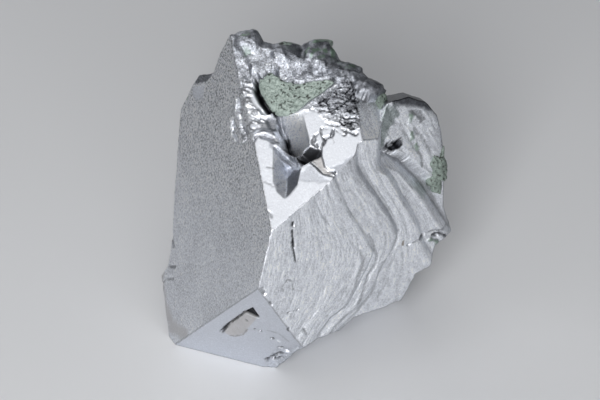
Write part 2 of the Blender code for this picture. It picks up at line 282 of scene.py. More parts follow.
terraces = {
    "lean": 0.8,  # mm that a riser leans back for each mm that it stands
    "edge": [(-2, 40), (1, 12), (3, -6), (4, -20), (6, -44)],  # where the growth lines begin
    "feet": [  # the depth of each tread, and the foot of its riser, across the right face and up it
        (0.5, [(6, 22), (10, 14), (12.9, 9.3), (16.9, 4), (21.8, -0.9), (24.7, -4.6), (24.4, -7.9),
               (21.9, -16.4), (18.7, -19.1), (16, -23.5), (14, -44)]),
        (1.7, [(13, 26), (15.6, 18), (17.1, 13.2), (20.6, 9.6), (26.6, 3.9), (30.1, -0.9), (29.8, -4.4),
               (27.8, -12.7), (25.1, -18.4), (21, -22.8), (17, -44)]),
        (3.2, [(18, 34), (20, 24), (23.8, 13.3), (29.5, 7.4), (35, 1.3), (38.5, -4), (60, -26)]),
        (5.8, [(21, 38), (22.5, 26), (24.2, 14.7), (28.4, 13.2), (34.6, 8.5), (40.6, 3.2), (43.1, 0.4),
               (60, -14)]),
    ],
    "marks": [
        # a slit below the corner and its ends, then pits and scratches near the lower face, all darkened by
        # painted shade
        band([(4.3, 1.9), (4.5, 1.2)], 0.4, sink=0.25, grime=1),
        band([(4.6, 0.2), (5.1, -1.6), (5.6, -3.2), (7.0, -6.4)], 0.3, sink=0.15, grime=1, rough=0.1),
        band([(5.2, -1.6), (5.8, -3.4)], 0.4, sink=0.15, grime=1, rough=0.1),
        band([(5.5, -11.8), (6.1, -10.2), (7.4, -10.7), (8.0, -12.4)], 0.25, sink=0.08, grime=0.45),
        band([(8.2, -17.5), (8.4, -17.4)], 0.4, sink=0.3, grime=0.8),
        band([(8.9, -17.3), (10.2, -16.8)], 0.2, sink=0.1, grime=0.3),
        band([(9.1, -21.0), (9.2, -21.5)], 0.35, sink=0.3, grime=0.7),
        band([(12.8, -21.4), (13.7, -22.3)], 0.3, sink=0.3, grime=0.7),
        band([(1.0, -12.2), (1.7, -13.2)], 0.7, sink=0.3, grime=0.4),
        band([(3.5, -15.2), (3.9, -15.7)], 0.4, sink=0.3, grime=0.7),
        # soft painted shade along the upper treads, then lines of painted shade beside the risers
        band([(15.9, 13.6), (18.1, 11.4), (22.9, 7.3), (26.7, 3.4), (29.4, -0.4)], 1.1, grime=0.24,
             rough=0.2),
        band([(14.6, 14.0), (17.0, 12.0), (19.6, 9.6), (21.4, 7.6)], 1.9, grime=0.2, rough=0.6),
        band([(21.4, -4.4), (22.6, -6.3), (22.5, -8.7), (22.2, -12.5), (21.3, -16.7), (18.4, -19.0),
              (17.1, -21.9), (16.2, -26)], 0.55, sink=0.04, grime=0.3, rough=0.15),
        band([(22.7, -1.1), (25.7, -5.3), (26.2, -7.2), (25.0, -9.6), (24.8, -13.4), (24.4, -16.9),
              (21.9, -18.8), (20.0, -21.4), (18.4, -26)], 0.55, sink=0.04, grime=0.32, rough=0.15),
        band([(30.3, -0.9), (30.5, -2.5), (29.6, -5.8), (27.7, -7.2), (27.3, -8.7), (28.1, -12.5),
              (27.5, -14.9), (25.7, -17.9), (23.6, -20.6), (21.4, -23.4)], 0.6, sink=0.05, grime=0.34,
             rough=0.15),
        band([(31.2, -4.4), (30.6, -8.6), (30.9, -12.0), (29.6, -15.4)], 0.4, sink=0.03, grime=0.18,
             rough=0.4),
        band([(8.3, 6.3), (10.6, 3.3), (12.8, 1.4)], 0.35, sink=0.1, grime=0.12, rough=0.3),
        # a crack and a crumb darkened by painted shade, a dusty crumb and a brown speck at the right corner,
        # then painted shade along the valley and in the hole
        band([(36.2, -2.6), (37.4, -2.6)], 0.5, sink=0.5, grime=0.85),
        band([(33.4, -4.0), (36.6, -2.4), (40.3, -1.4), (44, -1.3)], 0.25, sink=0.2, grime=0.3),
        band([(40.0, -2.6), (41.5, -2.2), (43.2, -2.8)], 0.5, sink=0.4, grime=0.8, rough=0.6),
        band([(39.8, -3.6), (41.2, -4.0)], 0.7, sink=-0.3, dust=0.8, grime=0.3, rough=0.5),
        band([(32.2, -3.3), (32.3, -3.9)], 0.35, grime=0.3, stain=1),
        band(valley, 0.9, grime=0.45, rough=0.25),
        patch(hole, grime=1, rough=0.3),
    ],
}


def growthLines(x, y):
    # A running count of growth lines in mm. Every foot is a distance across as a function of the height,
    # averaged over a few nearby heights, and the count goes evenly from each foot to the next.
    def across(line):
        down = [-up for _, up in line]
        return sum(np.interp(-y + shift, down, [right for right, _ in line])
                   for shift in (-2, -1, 0, 1, 2)) / 5

    lines = [across(terraces["edge"])] + [across(foot) for _, foot in terraces["feet"]]
    lines.append(lines[-1] + 12)
    paces = [16, 5, 7, 6, 12]
    count = 0 * x
    for before, after, pace in zip(lines[:-1], lines[1:], paces):
        count = count + pace * np.clip((x - before) / np.maximum(after - before, 0.5), 0, 1)
    return count + np.minimum(x - lines[0], 0)


def rightFace(x, y):
    # Treads at fixed depths. Each riser climbs from its foot by 1/lean, and its crest and foot are rounded.
    # Low folds and fine fibres follow the growth lines, and the folds are stronger beside the risers.
    wobble = 0.3 * fractal(x, y, 5, 11, 3)
    height = np.zeros_like(x)
    near = 0 * x
    for depth, foot in terraces["feet"]:
        beyond = wobble - sideOf(foot, x, y)
        riser = np.clip(-beyond, 0, None) / terraces["lean"] - depth
        height = -softMax(-height, -riser, 0.5)
        near = np.maximum(near, np.exp(-(((beyond + 1.5) / 3) ** 2)))
    growth = growthLines(x, y)
    warp = 0.5 * fractal(x, y, 3.5, 15, 3)
    bent = growth + warp
    folds = valueNoise(bent * 0.55, y * 0.04, 21) + 0.6 * valueNoise(bent * 1.2, y * 0.08, 22)
    fibres = valueNoise(growth * 2.2 + warp, y * 0.4, 23) + 0.7 * valueNoise(growth * 4 + warp, y * 0.8, 24)
    lumps = fractal(x, y, 1.8, 25, 3, 0.6)
    height = height + (0.03 + (0.08 + 0.06 * ease(-y, 4, 16)) * near) * folds + 0.022 * fibres + 0.05 * lumps
    tone = (0.5 * fibres + 0.1 * folds + 0.45 * fractal(x, y, 0.6, 26, 2) + 0.35 * fractal(x, y, 7, 28, 2)
            + 0.3)
    maps = {"height": height, "tone": tone, "shine": 0.85 + 0 * x, "grit": 0.8 + 0 * x, "fibre": 1.2 + 0 * x,
            "growth": growth}
    return paint(maps, x, y, terraces["marks"], 27)


# a pit in painted shade, the shoulder's top and face, painted shade at the peak, a brown and a green rim, the
# foot, and three nicks in painted shade
leftMarks = [
    patch([(-35.1, 3.3), (-34.2, 3.2), (-34.1, 2.2), (-34.9, 2.0)], sink=0.4, grime=0.75, stain=0.3,
          rough=0.4),
    patch([(-40.4, 14.4), (-38.8, 16.8), (-34.6, 19.4), (-33.2, 18.8), (-34.5, 16.7), (-37.9, 14.7)],
          sink=0.12, grime=0.6, shine=0, rough=0.3),
    patch([(-39.9, 13.2), (-39.3, 14.1), (-35.7, 16.0), (-34.7, 16.0), (-34.5, 12.9), (-36.5, 11.3),
           (-38.9, 11.0)],
          soft=0.9, shine=0.6, tone=0.5, grit=0.7),
    patch([(-24.0, 35.0), (-30.4, 28.2), (-32.6, 23.0), (-30.4, 22.0), (-28.6, 25.8), (-22.0, 31.0)],
          soft=2.5, tone=-0.9, rough=1.0),
    band([(-42.4, 7.0), (-42.0, 5.4), (-41.2, 3.2)], 0.4, stain=1, grime=0.25, rough=0.4),
    band([(-41.2, 12.4), (-40.8, 10.6)], 0.5, dust=1, rough=0.4),
    band([(-22.0, -33.2), (-27.5, -34.2), (-33.1, -31.2), (-35.2, -28.2), (-36, -26.5)], 2.2, tone=-0.8,
         stain=0.3, grit=0.3, rough=0.6),
    band([(-34.8, -28.2), (-33.6, -26.2), (-31.0, -25.0)], 0.3, sink=0.2, grime=0.4),
    band([(-33.4, -23.3), (-31.4, -22.5)], 0.3, sink=0.2, grime=0.45, rough=0.4),
    band([(-35.2, -17.0), (-33.4, -19.0)], 0.4, sink=0.2, grime=0.25, rough=0.5),
]


def leftFace(x, y):
    # Nearly flat and granular, with a few broad low swells.
    height = 0.06 * fractal(x, y, 6, 31, 3) + 0.04 * fractal(x, y, 0.9, 32, 3, 0.7)
    tone = 0.45 * fractal(x, y, 0.5, 33, 2, 0.8) + 0.35 * fractal(x, y, 5, 34, 3)
    streaks = valueNoise((x + y) * 0.5, (x - y) * 0.08, 35)
    maps = {"height": height, "tone": tone + 0.2 * streaks, "shine": 0.9 + 0 * x,
            "grit": 3.6 - 2.3 * ease(-y, -14, 16)}
    return paint(maps, x, y, leftMarks, 36)


hopper = {  # convex hollows of the large face: mouth, floor's middle, floor's share and depth
    "upper": ([(-3.3, 10.4), (1.2, 11.9), (1.1, 12.9), (2.4, 15.4), (-1.1, 15.8), (-3.4, 18.1), (-5.4, 16.5)],
              (-0.6, 15.0), 0.12, 4.6),
    "slot": ([(-1.5, 15.0), (1.0, 13.5), (2.4, 15.3), (4.1, 17.2), (3.9, 18.5), (1.6, 18.3), (-2.4, 17.6)],
             (2.0, 16.2), 0.12, 3.8),
    "notch": ([(-1.6, 7.8), (0.3, 6.9), (1.0, 8.1), (1.6, 9.9), (1.4, 11.8), (0.9, 15.5), (-4.4, 14.5),
               (-4.0, 12.3), (-2.9, 9.5)], (-1.9, 13.8), 0.05, 4.4),
}
# the sloping side of a block, from its ridge down to a bed, and the bed's depth at heights up the face
block = {
    "ridge": [(2.2, 16.6), (1.4, 18.1), (0.7, 19.9), (-0.5, 21.7), (-1.7, 23.8), (-2.2, 25.0)],
    "bed": [(-1.2, 15.6), (-2.0, 16.8), (-4.0, 19.1), (-5.6, 20.9), (-6.7, 23.4), (-7.0, 24.6)],
    "depth": [(17, 4.4), (19, 4.2), (21, 3.6), (22.6, 2.4), (24.2, 1.0)],
    "bank": 1.9,  # mm from the bed to the top of the opposite bank
}
pocket = {
    "mouth": [(-13.2, 28.6), (-13.0, 27.0), (-12.0, 25.5), (-9.9, 23.6), (-8.6, 22.6), (-6.4, 22.5),
              (-3.2, 24.0), (-1.6, 26.9), (0.6, 29.8), (2.4, 32.9), (-0.6, 32.0), (-2.8, 31.0), (-4.8, 29.9),
              (-6.3, 30.1), (-8.5, 29.6), (-11.4, 30.6)],
    # the open gap beside the filling
    "cleft": [(-12.7, 28.0), (-12.2, 26.2), (-10.8, 24.6), (-9.6, 23.6), (-8.6, 23.0)],
    "bottom": -4.0,  # mm from the face's plane to the filling's hidden underside
    "shade": 0.1,  # how dark the filling is
    "rings": 60,
    "columns": 160,
}
ledgeFields = [  # the rippled fields right and left of the pocket
    [(-3.0, 24.6), (-1.1, 26.6), (1.6, 30.6), (3.2, 33.2), (6.5, 33.2), (8.6, 30.5), (9.4, 24.6), (9.2, 23.4),
     (6.8, 22.6), (5.6, 23.4), (3.0, 22.4), (2.1, 24.1), (-0.7, 24.9)],
    [(-15.8, 28.0), (-14.1, 27.6), (-12.3, 24.4), (-10.0, 22.6), (-7.6, 21.2), (-9.2, 19.4), (-11.6, 16.2),
     (-14.4, 14.6), (-16, 17), (-17, 23)],
]
# where the large face falls away towards the left face in broad broken steps
brokenField = [(-14.0, 28.4), (-15.4, 26.8), (-15.7, 23.6), (-15.9, 21.6), (-16.1, 19.8), (-15.6, 17.6),
               (-14.0, 16.3), (-12.4, 15.3), (-11.2, 14.9), (-10.4, 17.0), (-9.6, 20.0), (-12.0, 25.0)]
largeMarks = [
    # the low ground above and left of the arch, the arch in painted shade, the ledge and a line of painted
    # shadow inside it, and painted shade on the slope under the pocket
    patch([(-14.5, 14.3), (-11.2, 15.0), (-10.4, 16.6), (-8.6, 18.4), (-6.2, 18.9), (-4.4, 18.4),
           (-3.2, 17.9), (-5.0, 20.5), (-6.3, 22.6), (-9.6, 23.4), (-13, 27.5), (-15, 31), (-20, 36),
           (-26, 36), (-26, 14)], soft=1.1,
          sink=1.0),
    patch([(-11.5, 14.6), (-10.9, 15.8), (-10.1, 17.2), (-8.6, 18.9), (-6.2, 19.5), (-4.4, 19.0),
           (-3.1, 18.0), (-4.2, 17.6), (-6.0, 18.0), (-7.9, 18.2), (-9.3, 17.2), (-10.0, 15.4)], shine=0.1,
          grime=0.5, grit=1, soft=0.4),
    patch([(-9.9, 15.2), (-9.4, 17.1), (-7.9, 18.1), (-6.0, 17.9), (-4.2, 17.6), (-3.4, 18.2), (-4.4, 16.9),
           (-5.5, 16.6), (-8.7, 17.1), (-9.1, 15.5)], sink=0.45, shine=0.4, grime=0.2, grit=1),
    band([(-9.7, 15.6), (-9.2, 17.0), (-7.9, 17.9), (-6.0, 17.7), (-4.4, 17.4)], 0.28, sink=0.3, grime=0.75,
         rough=0.3),
    patch([(-9.2, 21.0), (-7.9, 22.6), (-6.2, 22.9), (-5.4, 20.6), (-3.4, 18.4), (-4.2, 18.1), (-6.2, 18.9),
           (-7.5, 19.2)], soft=0.7, sink=0.8, grime=0.62, grit=1.6, shine=0.3),
    # the beige facet, the dim triangle below it, the wedge at the right edge and three bright patches
    patch([(2.3, 15.5), (4.1, 17.4), (5.7, 15.4), (8.0, 14.1), (5.5, 13.8)], sink=0.35, shine=0.65, stain=0.5,
          grit=0.5),
    patch([(1.4, 10.9), (1.1, 12.7), (2.5, 15.2), (5.4, 13.8), (8.0, 13.0), (5.7, 11.8)], sink=0.05, soft=0.5,
          shine=0.5, tone=-0.2, grit=0.5),
    patch([(12, 21.2), (9.3, 19.1), (8.3, 17.4), (6.3, 15.7), (5.9, 15.1), (8.0, 13.6), (8.6, 12.9),
           (12, 17)],
          soft=0.6, rough=0.2, sink=0.05, shine=0.25, grime=0.14),
    patch([(3.6, 18.6), (3.9, 20.3), (4.6, 21.6), (5.0, 22.9), (7.0, 22.6), (7.4, 23.2), (9.2, 23.0),
           (10.4, 21.2), (9.2, 19.0), (8.2, 17.4), (6.3, 15.8), (5.4, 15.9)], sink=-0.25, shine=1, tone=0.1,
          grit=0.3),
    patch([(-1.6, 23.8), (0.3, 25.1), (1.8, 24.3), (2.4, 22.4), (1.5, 20.4), (1.7, 18.5), (-0.1, 20.3)],
          sink=-0.3, shine=1, tone=0.1, grit=0.5, rough=0.5),
    patch([(-11.9, 18.7), (-10.6, 21.0), (-9.8, 20.4), (-9.2, 19.8), (-10.6, 18.7), (-11.2, 17.4),
           (-12.0, 17.4)],
          sink=-0.4, shine=1, tone=0.6, grit=0.1),
    # cracks round the bright patches and along the beige facet, darkened by painted shade
    band([(3.6, 18.4), (3.9, 20.4), (3.0, 20.8), (2.2, 21.9)], 0.28, sink=0.35, grime=0.8),
    band([(3.8, 20.7), (4.8, 21.7), (4.6, 23.1), (6.2, 22.3), (7.2, 22.4), (7.4, 23.4), (9.0, 23.2)], 0.28,
         sink=0.35, grime=0.75, rough=0.4),
    band([(4.6, 21.6), (5.6, 20.4), (5.4, 19.6)], 0.15, sink=0.15, grime=0.35),
    band([(2.6, 18.6), (1.7, 19.4), (1.6, 20.5), (2.5, 22.4)], 0.3, sink=0.3, grime=0.6, rough=0.5),
    band([(2.4, 15.4), (4.2, 14.6), (5.5, 13.9), (6.6, 13.9), (7.8, 14.0)], 0.2, sink=0.35, grime=0.85,
         rough=0.15),
    band([(6.4, 14.7), (7.2, 14.9), (8.0, 14.4)], 0.25, sink=0.3, grime=0.6, rough=0.4),
    # the round hollow over the pocket, dimmed by painted shade and darkest under its top rim, green dust at
    # the peak and the grey zone between the pocket and the crest
    patch([(-11.6, 28.9), (-11.7, 30.4), (-11.0, 31.8), (-9.7, 31.8), (-8.8, 30.7), (-8.8, 29.0)], soft=1.2,
          sink=1.5, shine=0, grime=0.25),
    band([(-11.2, 31.6), (-10.4, 31.9), (-9.6, 31.6)], 0.45, grime=0.6, rough=0.1),
    patch([(-17.6, 33.4), (-16.9, 34.0), (-15.9, 33.6), (-15.6, 32.4), (-16.4, 31.6), (-17.5, 32.2)],
          dust=0.5, grime=0.5, sink=0.15, rough=0.5),
    patch([(-8.4, 29.0), (-8.6, 31.4), (-6.1, 33.4), (-1.7, 34.6), (1.3, 34.4), (1.9, 32.9), (-2.8, 30.8),
           (-4.8, 29.7), (-6.3, 29.9)], soft=1.0, shine=0.05, grime=0.16, rough=0.9),
    # painted shade over the arch and under the pocket, and small nicks along the left arm darkened by painted
    # shade
    band([(-12.2, 16.6), (-11.2, 18.1), (-9.8, 19.5), (-8.1, 20.2), (-6.0, 20.0), (-3.9, 18.6)], 1.3,
         grime=0.55, rough=0.5),
    patch([(-9.0, 20.6), (-8.2, 22.4), (-6.4, 23.2), (-5.4, 21.5), (-4.0, 18.8), (-5.5, 19.8), (-7.6, 20.4)],
          grime=0.5, soft=0.8, rough=0.6, shine=0.2),
    band([(-4.4, 15.5), (-4.8, 16.3)], 0.3, grime=0.3),
    band([(-5.2, 11.8), (-3.8, 12.0)], 0.2, sink=0.03, grime=0.5),
    band([(-4.6, 8.9), (-2.6, 8.6)], 0.2, sink=0.03, grime=0.35, rough=0.4),
    band([(-2.4, 3.6), (-1.5, 3.4), (-1.0, 2.7)], 0.2, sink=0.12, grime=0.5, rough=0.3),
]
# painted shade over the hollows: on the left walls, the block's bed, the clefts round the block's foot, and
# the walls of the slot, which is also a little stained, and of the notch
hollowMarks = [
    band([(-5.8, 16.5), (-4.6, 15.9), (-3.4, 15.0), (-2.0, 13.9), (-0.9, 13.0)], 1.0, grime=0.2, shine=0.3,
         rough=0.7),
    patch([(-3.4, 14.9), (-1.9, 15.1), (-0.4, 14.2), (-0.5, 11.6), (-1.6, 11.4), (-2.9, 12.9)], soft=0.8,
          grime=0.25, shine=0.3, rough=1.0),
    band([(-3.2, 18.2), (-4.9, 20.2), (-6.2, 22.4), (-7.0, 24.6)], 0.7, grime=0.6, shine=0.2, rough=0.5),
    band([(-3.9, 18.9), (-3.3, 17.8), (-2.5, 16.6)], 0.45, sink=0.8, grime=1, rough=0.1),
    band([(-2.7, 16.9), (-1.6, 15.9), (0.0, 15.3), (1.3, 15.6)], 0.8, sink=0.4, grime=1, rough=0.15),
    patch([(-1.0, 15.9), (1.3, 18.4), (3.9, 18.5), (4.2, 17.4), (2.3, 15.4)], grime=0.75, stain=0.25,
          rough=0.1, grit=0.8, shine=0),
    band([(1.0, 15.4), (2.4, 15.7), (4.0, 17.2)], 0.35, sink=0.3, grime=0.95, rough=0.1),
    patch([(-1.35, 11.7), (-0.6, 13.9), (1.3, 13.5), (1.7, 10.4), (0.8, 7.6), (0.3, 6.8), (-0.4, 9.3)],
          grime=0.72, rough=0.08, soft=0.25, shine=0),
    patch([(-2.8, 15.9), (-2.2, 16.8), (0.8, 15.4), (1.8, 14.4), (-0.9, 14.6)], grime=0.6, soft=0.9, shine=0),
]


def blockSide(x, y):
    # Between the ridge and the bed the depth goes by the share of the two distances, and beyond the bed it
    # falls away evenly. Gives the depth and where the slope is.
    above, below = -sideOf(block["ridge"], x, y), sideOf(block["bed"], x, y)
    slope = np.clip(above, 0, None) / (np.clip(above, 0, None) + np.abs(below) + 0.01)
    bank = np.clip(1 + below / block["bank"], 0, 1)
    share = np.where(below > 0, slope, bank) * (above > 0) * ease(y, 15.4, 16.6)
    depth = np.interp(y, [at for at, _ in block["depth"]], [down for _, down in block["depth"]])
    return depth * share * ease(-y, -25.2, -23.6), (below > 0) & (above > 0)


def largeFace(x, y):
    # Flat and bright below. Above, it is cut into low plateaus, with long thin ones at the sides, and at the
    # left it drops towards the left face in steps of 2.6 mm. The pocket, the block's side and the hollows
    # with straight walls sink into it: at each point the lowest of them is the height.
    up = ease(y - 24.5 + 0.12 * x + 1.5 * fractal(x, y, 3, 41, 3), 0, 3)
    levels, riser = plateaus(x, y * 1.2, 2.0, 0.5, 0.2, 42, 0.3)
    tone = 0.15 * fractal(x, y, 0.45, 43, 2) + up * (0.7 * fractal(x, y, 1.1, 44, 4, 0.7) - 0.1)
    tone = tone - 0.35 * ease(-y, -9, -3)
    height = 0.03 * fractal(x, y, 2.5, 45, 3) + up * (0.5 * levels + 0.06 * fractal(x, y, 0.6, 46, 3, 0.7))
    # Higher up, painted shade lies on the plateaus' risers, over a faint even darkening and a mottle.
    maps = {"height": height, "tone": tone, "shine": 1 - 0.65 * up, "grit": 0.35 + 2.3 * up,
            "grime": up * (0.07 + 0.16 * riser + 0.12 * ease(fractal(x, y, 0.9, 57, 4, 0.7), 0.0, 0.5)),
            "fibre": 0 * x, "growth": 0 * x}
    maps = paint(maps, x, y, largeMarks[:1], 47)
    rippled = 0
    for field in ledgeFields:
        rippled = np.maximum(rippled,
                             ease(insideOf(field, x, y) + 0.7 * fractal(x, y, 1.8, 48, 3), -0.1, 0.9))
    carved = ease(insideOf(brokenField, x, y) + 0.4 * fractal(x, y, 1.5, 62, 3), 0, 0.3)
    beside = np.clip(-1.2247 * x - 0.7071 * y, 0, None)
    level = np.clip((0.8 + 0.85 * beside + 1.0 * fractal(x * 0.7, y * 0.9, 2.2, 63, 3, 0.5)) / 2.6, 0, None)
    part = level - np.floor(level)
    maps["height"] = maps["height"] - carved * 2.6 * (np.floor(level) + ease(part, 0.7, 1))
    steps, drop = ledges(x, y, 1.0, 49)
    lenses, edge = plateaus(x * 0.4, y, 1.3, 1.3, 0.36, 50)
    # dim: painted shade on the ripples' risers and the lenses' edges, a darkening that grows from x = -7 to
    # -1, and more on the broken steps above y = 20.
    dim = ease(x, -7, -1) * (0.4 + 0.3 * valueNoise(x * 0.3, y * 0.8, 59))
    maps["height"] = maps["height"] + rippled * (1.1 * steps + (0.7 - 0.3 * carved) * lenses)
    dim = dim + 0.3 * carved * ease(y, 20, 25) + (0.55 * drop + 0.7 * edge) * (1 - 0.35 * carved)
    blend(maps, rippled, {"grime": dim})
    maps["tone"] = maps["tone"] + 0.4 * rippled * fractal(x * 0.5, y, 0.8, 53, 3)
    atLeast(maps, "grit", 0.9 * rippled)
    maps["fibre"] = 4 * rippled
    maps["growth"] = y + 1.2 * fractal(x * 0.4, y, 2.0, 58, 3)
    maps = paint(maps, x, y, largeMarks[1:], 51)
    inPocket = insideOf(pocket["mouth"], x, y) + 0.2 * fractal(x, y, 1.5, 54, 3)
    maps["height"] = np.minimum(maps["height"], maps["height"] * 0.3 - 1.3 * ease(inPocket, -0.2, 0.9))
    # Painted shade inside the pocket's mouth, under its filling.
    atLeast(maps, "grime", 0.9 * ease(inPocket, 0.0, 0.35))
    # The open cleft beside the filling sinks and is darkened by painted shade.
    gap = 1 - ease(np.abs(sideOf(pocket["cleft"], x, y)), 0.25, 0.9)
    maps["height"] = maps["height"] - 2.4 * gap
    atLeast(maps, "grime", gap)
    down, sloping = blockSide(x, y)
    side = ease(down, 0.1, 0.4) * (maps["height"] > -down)
    maps["height"] = np.minimum(maps["height"], -down)
    strands = valueNoise(x * 3.2 + 0.5 * y, y * 0.5, 55) + 0.6 * fractal(x, y, 0.7, 60, 2)
    crossed = 0.5 * valueNoise((x + y) * 1.6, (x - y) * 0.4, 61)
    # Past the slope, the block's bed gets painted shade with a crossed mottle.
    blend(maps, side, {"shine": 0.9 * sloping, "grime": np.where(sloping, 0, 0.62 + crossed),
                       "tone": 0.7 * strands + 0.9 * sloping, "grit": 1.4, "fibre": 0})
    for name, (mouth, end, floor, depth) in hopper.items():
        sunk = pit(x, y, mouth, end, floor)
        wall = ease(sunk, 0.02, 0.1) * (maps["height"] > -depth * sunk)
        rough = fractal(x, y, 0.9, 52, 3, 0.6)
        maps["height"] = np.minimum(maps["height"], -depth * sunk) - 0.1 * wall * rough
        mottled = fractal(x, y, 0.8, 64, 4, 0.7)
        maps["grime"] = maps["grime"] * (1 - wall * (name != "upper")) + 0.2 * wall * ease(mottled, 0.05, 0.4)
        blend(maps, wall, {"shine": 0.8, "tone": 0.8 * rough - 0.8 * mottled + 0.9, "grit": 1.5})
    return paint(maps, x, y, hollowMarks, 56)


lowerMarks = [  # painted shade in the chip's corner and along its upper rim, a painted highlight on its edge, a stained lower rim, then pits and cracks in painted shade, and crumbs, towards the right
    patch([(-3.1, -20.9), (-2.8, -19.5), (-1.0, -17.1), (0.4, -19.7), (0.3, -20.1)], sink=0.3, grime=1,
          rough=0.05, soft=0.15),
    band([(-2.5, -21.2), (0.3, -20.3)], 0.22, sink=-0.1, shine=1, tone=1.5, grime=0, rough=0.03),
    band([(-7.3, -29.4), (-6.2, -26.6), (-4.9, -24.2), (-3.6, -21.8), (-2.6, -20.0)], 0.55, sink=0.4, grime=1,
         rough=0.2),
    band([(-7.4, -29.8), (-7.1, -29.0)], 0.6, sink=0.6, grime=0.95, rough=0.3),
    band([(-5.8, -30.2), (-4.5, -29.7), (-3.0, -28.3), (-2.0, -25.7)], 0.15, grime=0.3, stain=0.5),
    band([(-0.8, -25.0), (-0.5, -24.8)], 0.35, sink=0.5, grime=0.95),
    band([(0.5, -25.0), (0.8, -24.9)], 0.4, sink=0.6, grime=1),
    band([(-2.6, -23.2), (-2.3, -23.2)], 0.25, sink=0.2, grime=0.4),
    band([(3.1, -26.2), (3.4, -26.0)], 0.4, sink=0.5, grime=1),
    band([(4.4, -26.2), (4.8, -26.3)], 0.3, sink=-0.2, shine=1, tone=1),
    band([(4.9, -28.6), (5.3, -28.4)], 0.55, sink=0.5, grime=0.85, rough=0.4),
    band([(2.1, -35.0), (3.1, -32.9), (5.4, -30.6)], 0.4, sink=0.8, grime=0.95, rough=0.5),
    band([(3.4, -33.8), (5.2, -32.4)], 0.35, sink=0.5, grime=0.8, rough=0.4),
    band([(2.0, -23.9), (4.5, -23.6), (6.5, -25.4)], 0.25, sink=0.1, grime=0.25, rough=0.4),
]
chipOutline = [(-7.4, -29.6), (-6.1, -30.2), (-4.5, -29.6), (-3.0, -28.2), (-2.0, -25.7), (-0.5, -22.0),
               (0.2, -19.6), (-1.2, -17.4), (-3.7, -21.7), (-5.7, -25.3)]
crumbled = [(2.0, -35.5), (3.4, -31.6), (5.0, -28.0), (8.6, -25.5), (12, -27), (9, -36), (5, -42), (1, -40)]


def lowerFace(x, y):
    # Satin smooth. A chip slants in from its lower rim to a wall under its upper rim, and one corner has
    # crumbled.
    maps = {"height": 0.03 * fractal(x, y, 4, 51, 3), "tone": 0.1 * fractal(x, y, 0.5, 53, 2), "grime": 0 * x,
            "shine": 0.45 + 0 * x, "grit": 0.3 + 0 * x, "stain": 0 * x}
    inside = insideOf(chipOutline, x, y)
    rim = np.abs(sideOf(chipOutline[1:7], x, y))
    chip = ease(inside, 0, 0.25)
    maps["height"] = maps["height"] - np.minimum(np.clip(inside, 0, None) * 2.2, 0.3 * rim)
    maps["height"] = maps["height"] + chip * 0.06 * fractal(x, y, 1.0, 54, 3)
    maps["stain"] = 0.45 * chip
    maps["shine"] = maps["shine"] + 0.3 * chip
    maps["tone"] = maps["tone"] + 0.4 * chip * fractal(x, y, 1.2, 55, 3)
    loose = ease(insideOf(crumbled, x, y) + 0.8 * fractal(x, y, 2, 56, 3), 0, 1.2)
    maps["height"] = maps["height"] - loose * (0.35 + 0.7 * fractal(x, y, 1.5, 57, 4, 0.65))
    maps["tone"] = maps["tone"] + 0.7 * loose * fractal(x, y, 0.8, 58, 3, 0.7)
    atLeast(maps, "grit", 0.8 * loose)
    return paint(maps, x, y, lowerMarks, 59)


def topFace(x, y):
    # Rough with lumps of 4 mm, dark all over from painted shade, and with patches of green dust where a finer
    # noise is high.
    return {"height": 0.8 * fractal(x, y, 4, 61, 5, 0.6) - 0.4, "tone": 1.2 * fractal(x, y, 0.9, 62, 3, 0.7),
            "grime": 0.4 + 0.5 * fractal(x, y, 1.6, 60, 3), "grit": 1.8 + 0 * x,
            "dust": ease(fractal(x, y, 1.8, 63, 3), 0.35, 0.55)}


def greyPatch(x, y):
    # Even and satin, with strands that run up it.
    strands = valueNoise(x * 1.4 + 0.3 * y, y * 0.2, 64) + 0.6 * valueNoise(x * 3.1 + 0.3 * y, y * 0.4, 69)
    return {"height": 0.03 * strands + 0.14 * fractal(x, y, 3, 64, 4, 0.5),
            "tone": 0.5 * strands + 0.5 * fractal(x, y, 0.8, 65, 3) + 0.8 * ease(-y, -17.5, -13.5) + 0.7,
            "grit": 1.4 + 0 * x, "shine": 0.6 + 0.3 * ease(-y, -17.5, -13.5),
            "fibre": 1.2 + 0 * x, "growth": x + 0.3 * y}


def backFace(x, y):
    # A matt break with low swells of 7 mm.
    return {"height": 0.5 * fractal(x, y, 7, 66, 5, 0.55), "tone": 0.4 * fractal(x, y, 0.9, 67, 3),
            "shine": 0.3 + 0 * x, "grit": 0.8 + 0 * x}


def baseFace(x, y):
    # Flat, so that it stands, with a faint mottle of 0.9 mm.
    return {"height": 0 * x, "tone": 0.4 * fractal(x, y, 0.9, 68, 3), "grit": 0.8 + 0 * x}
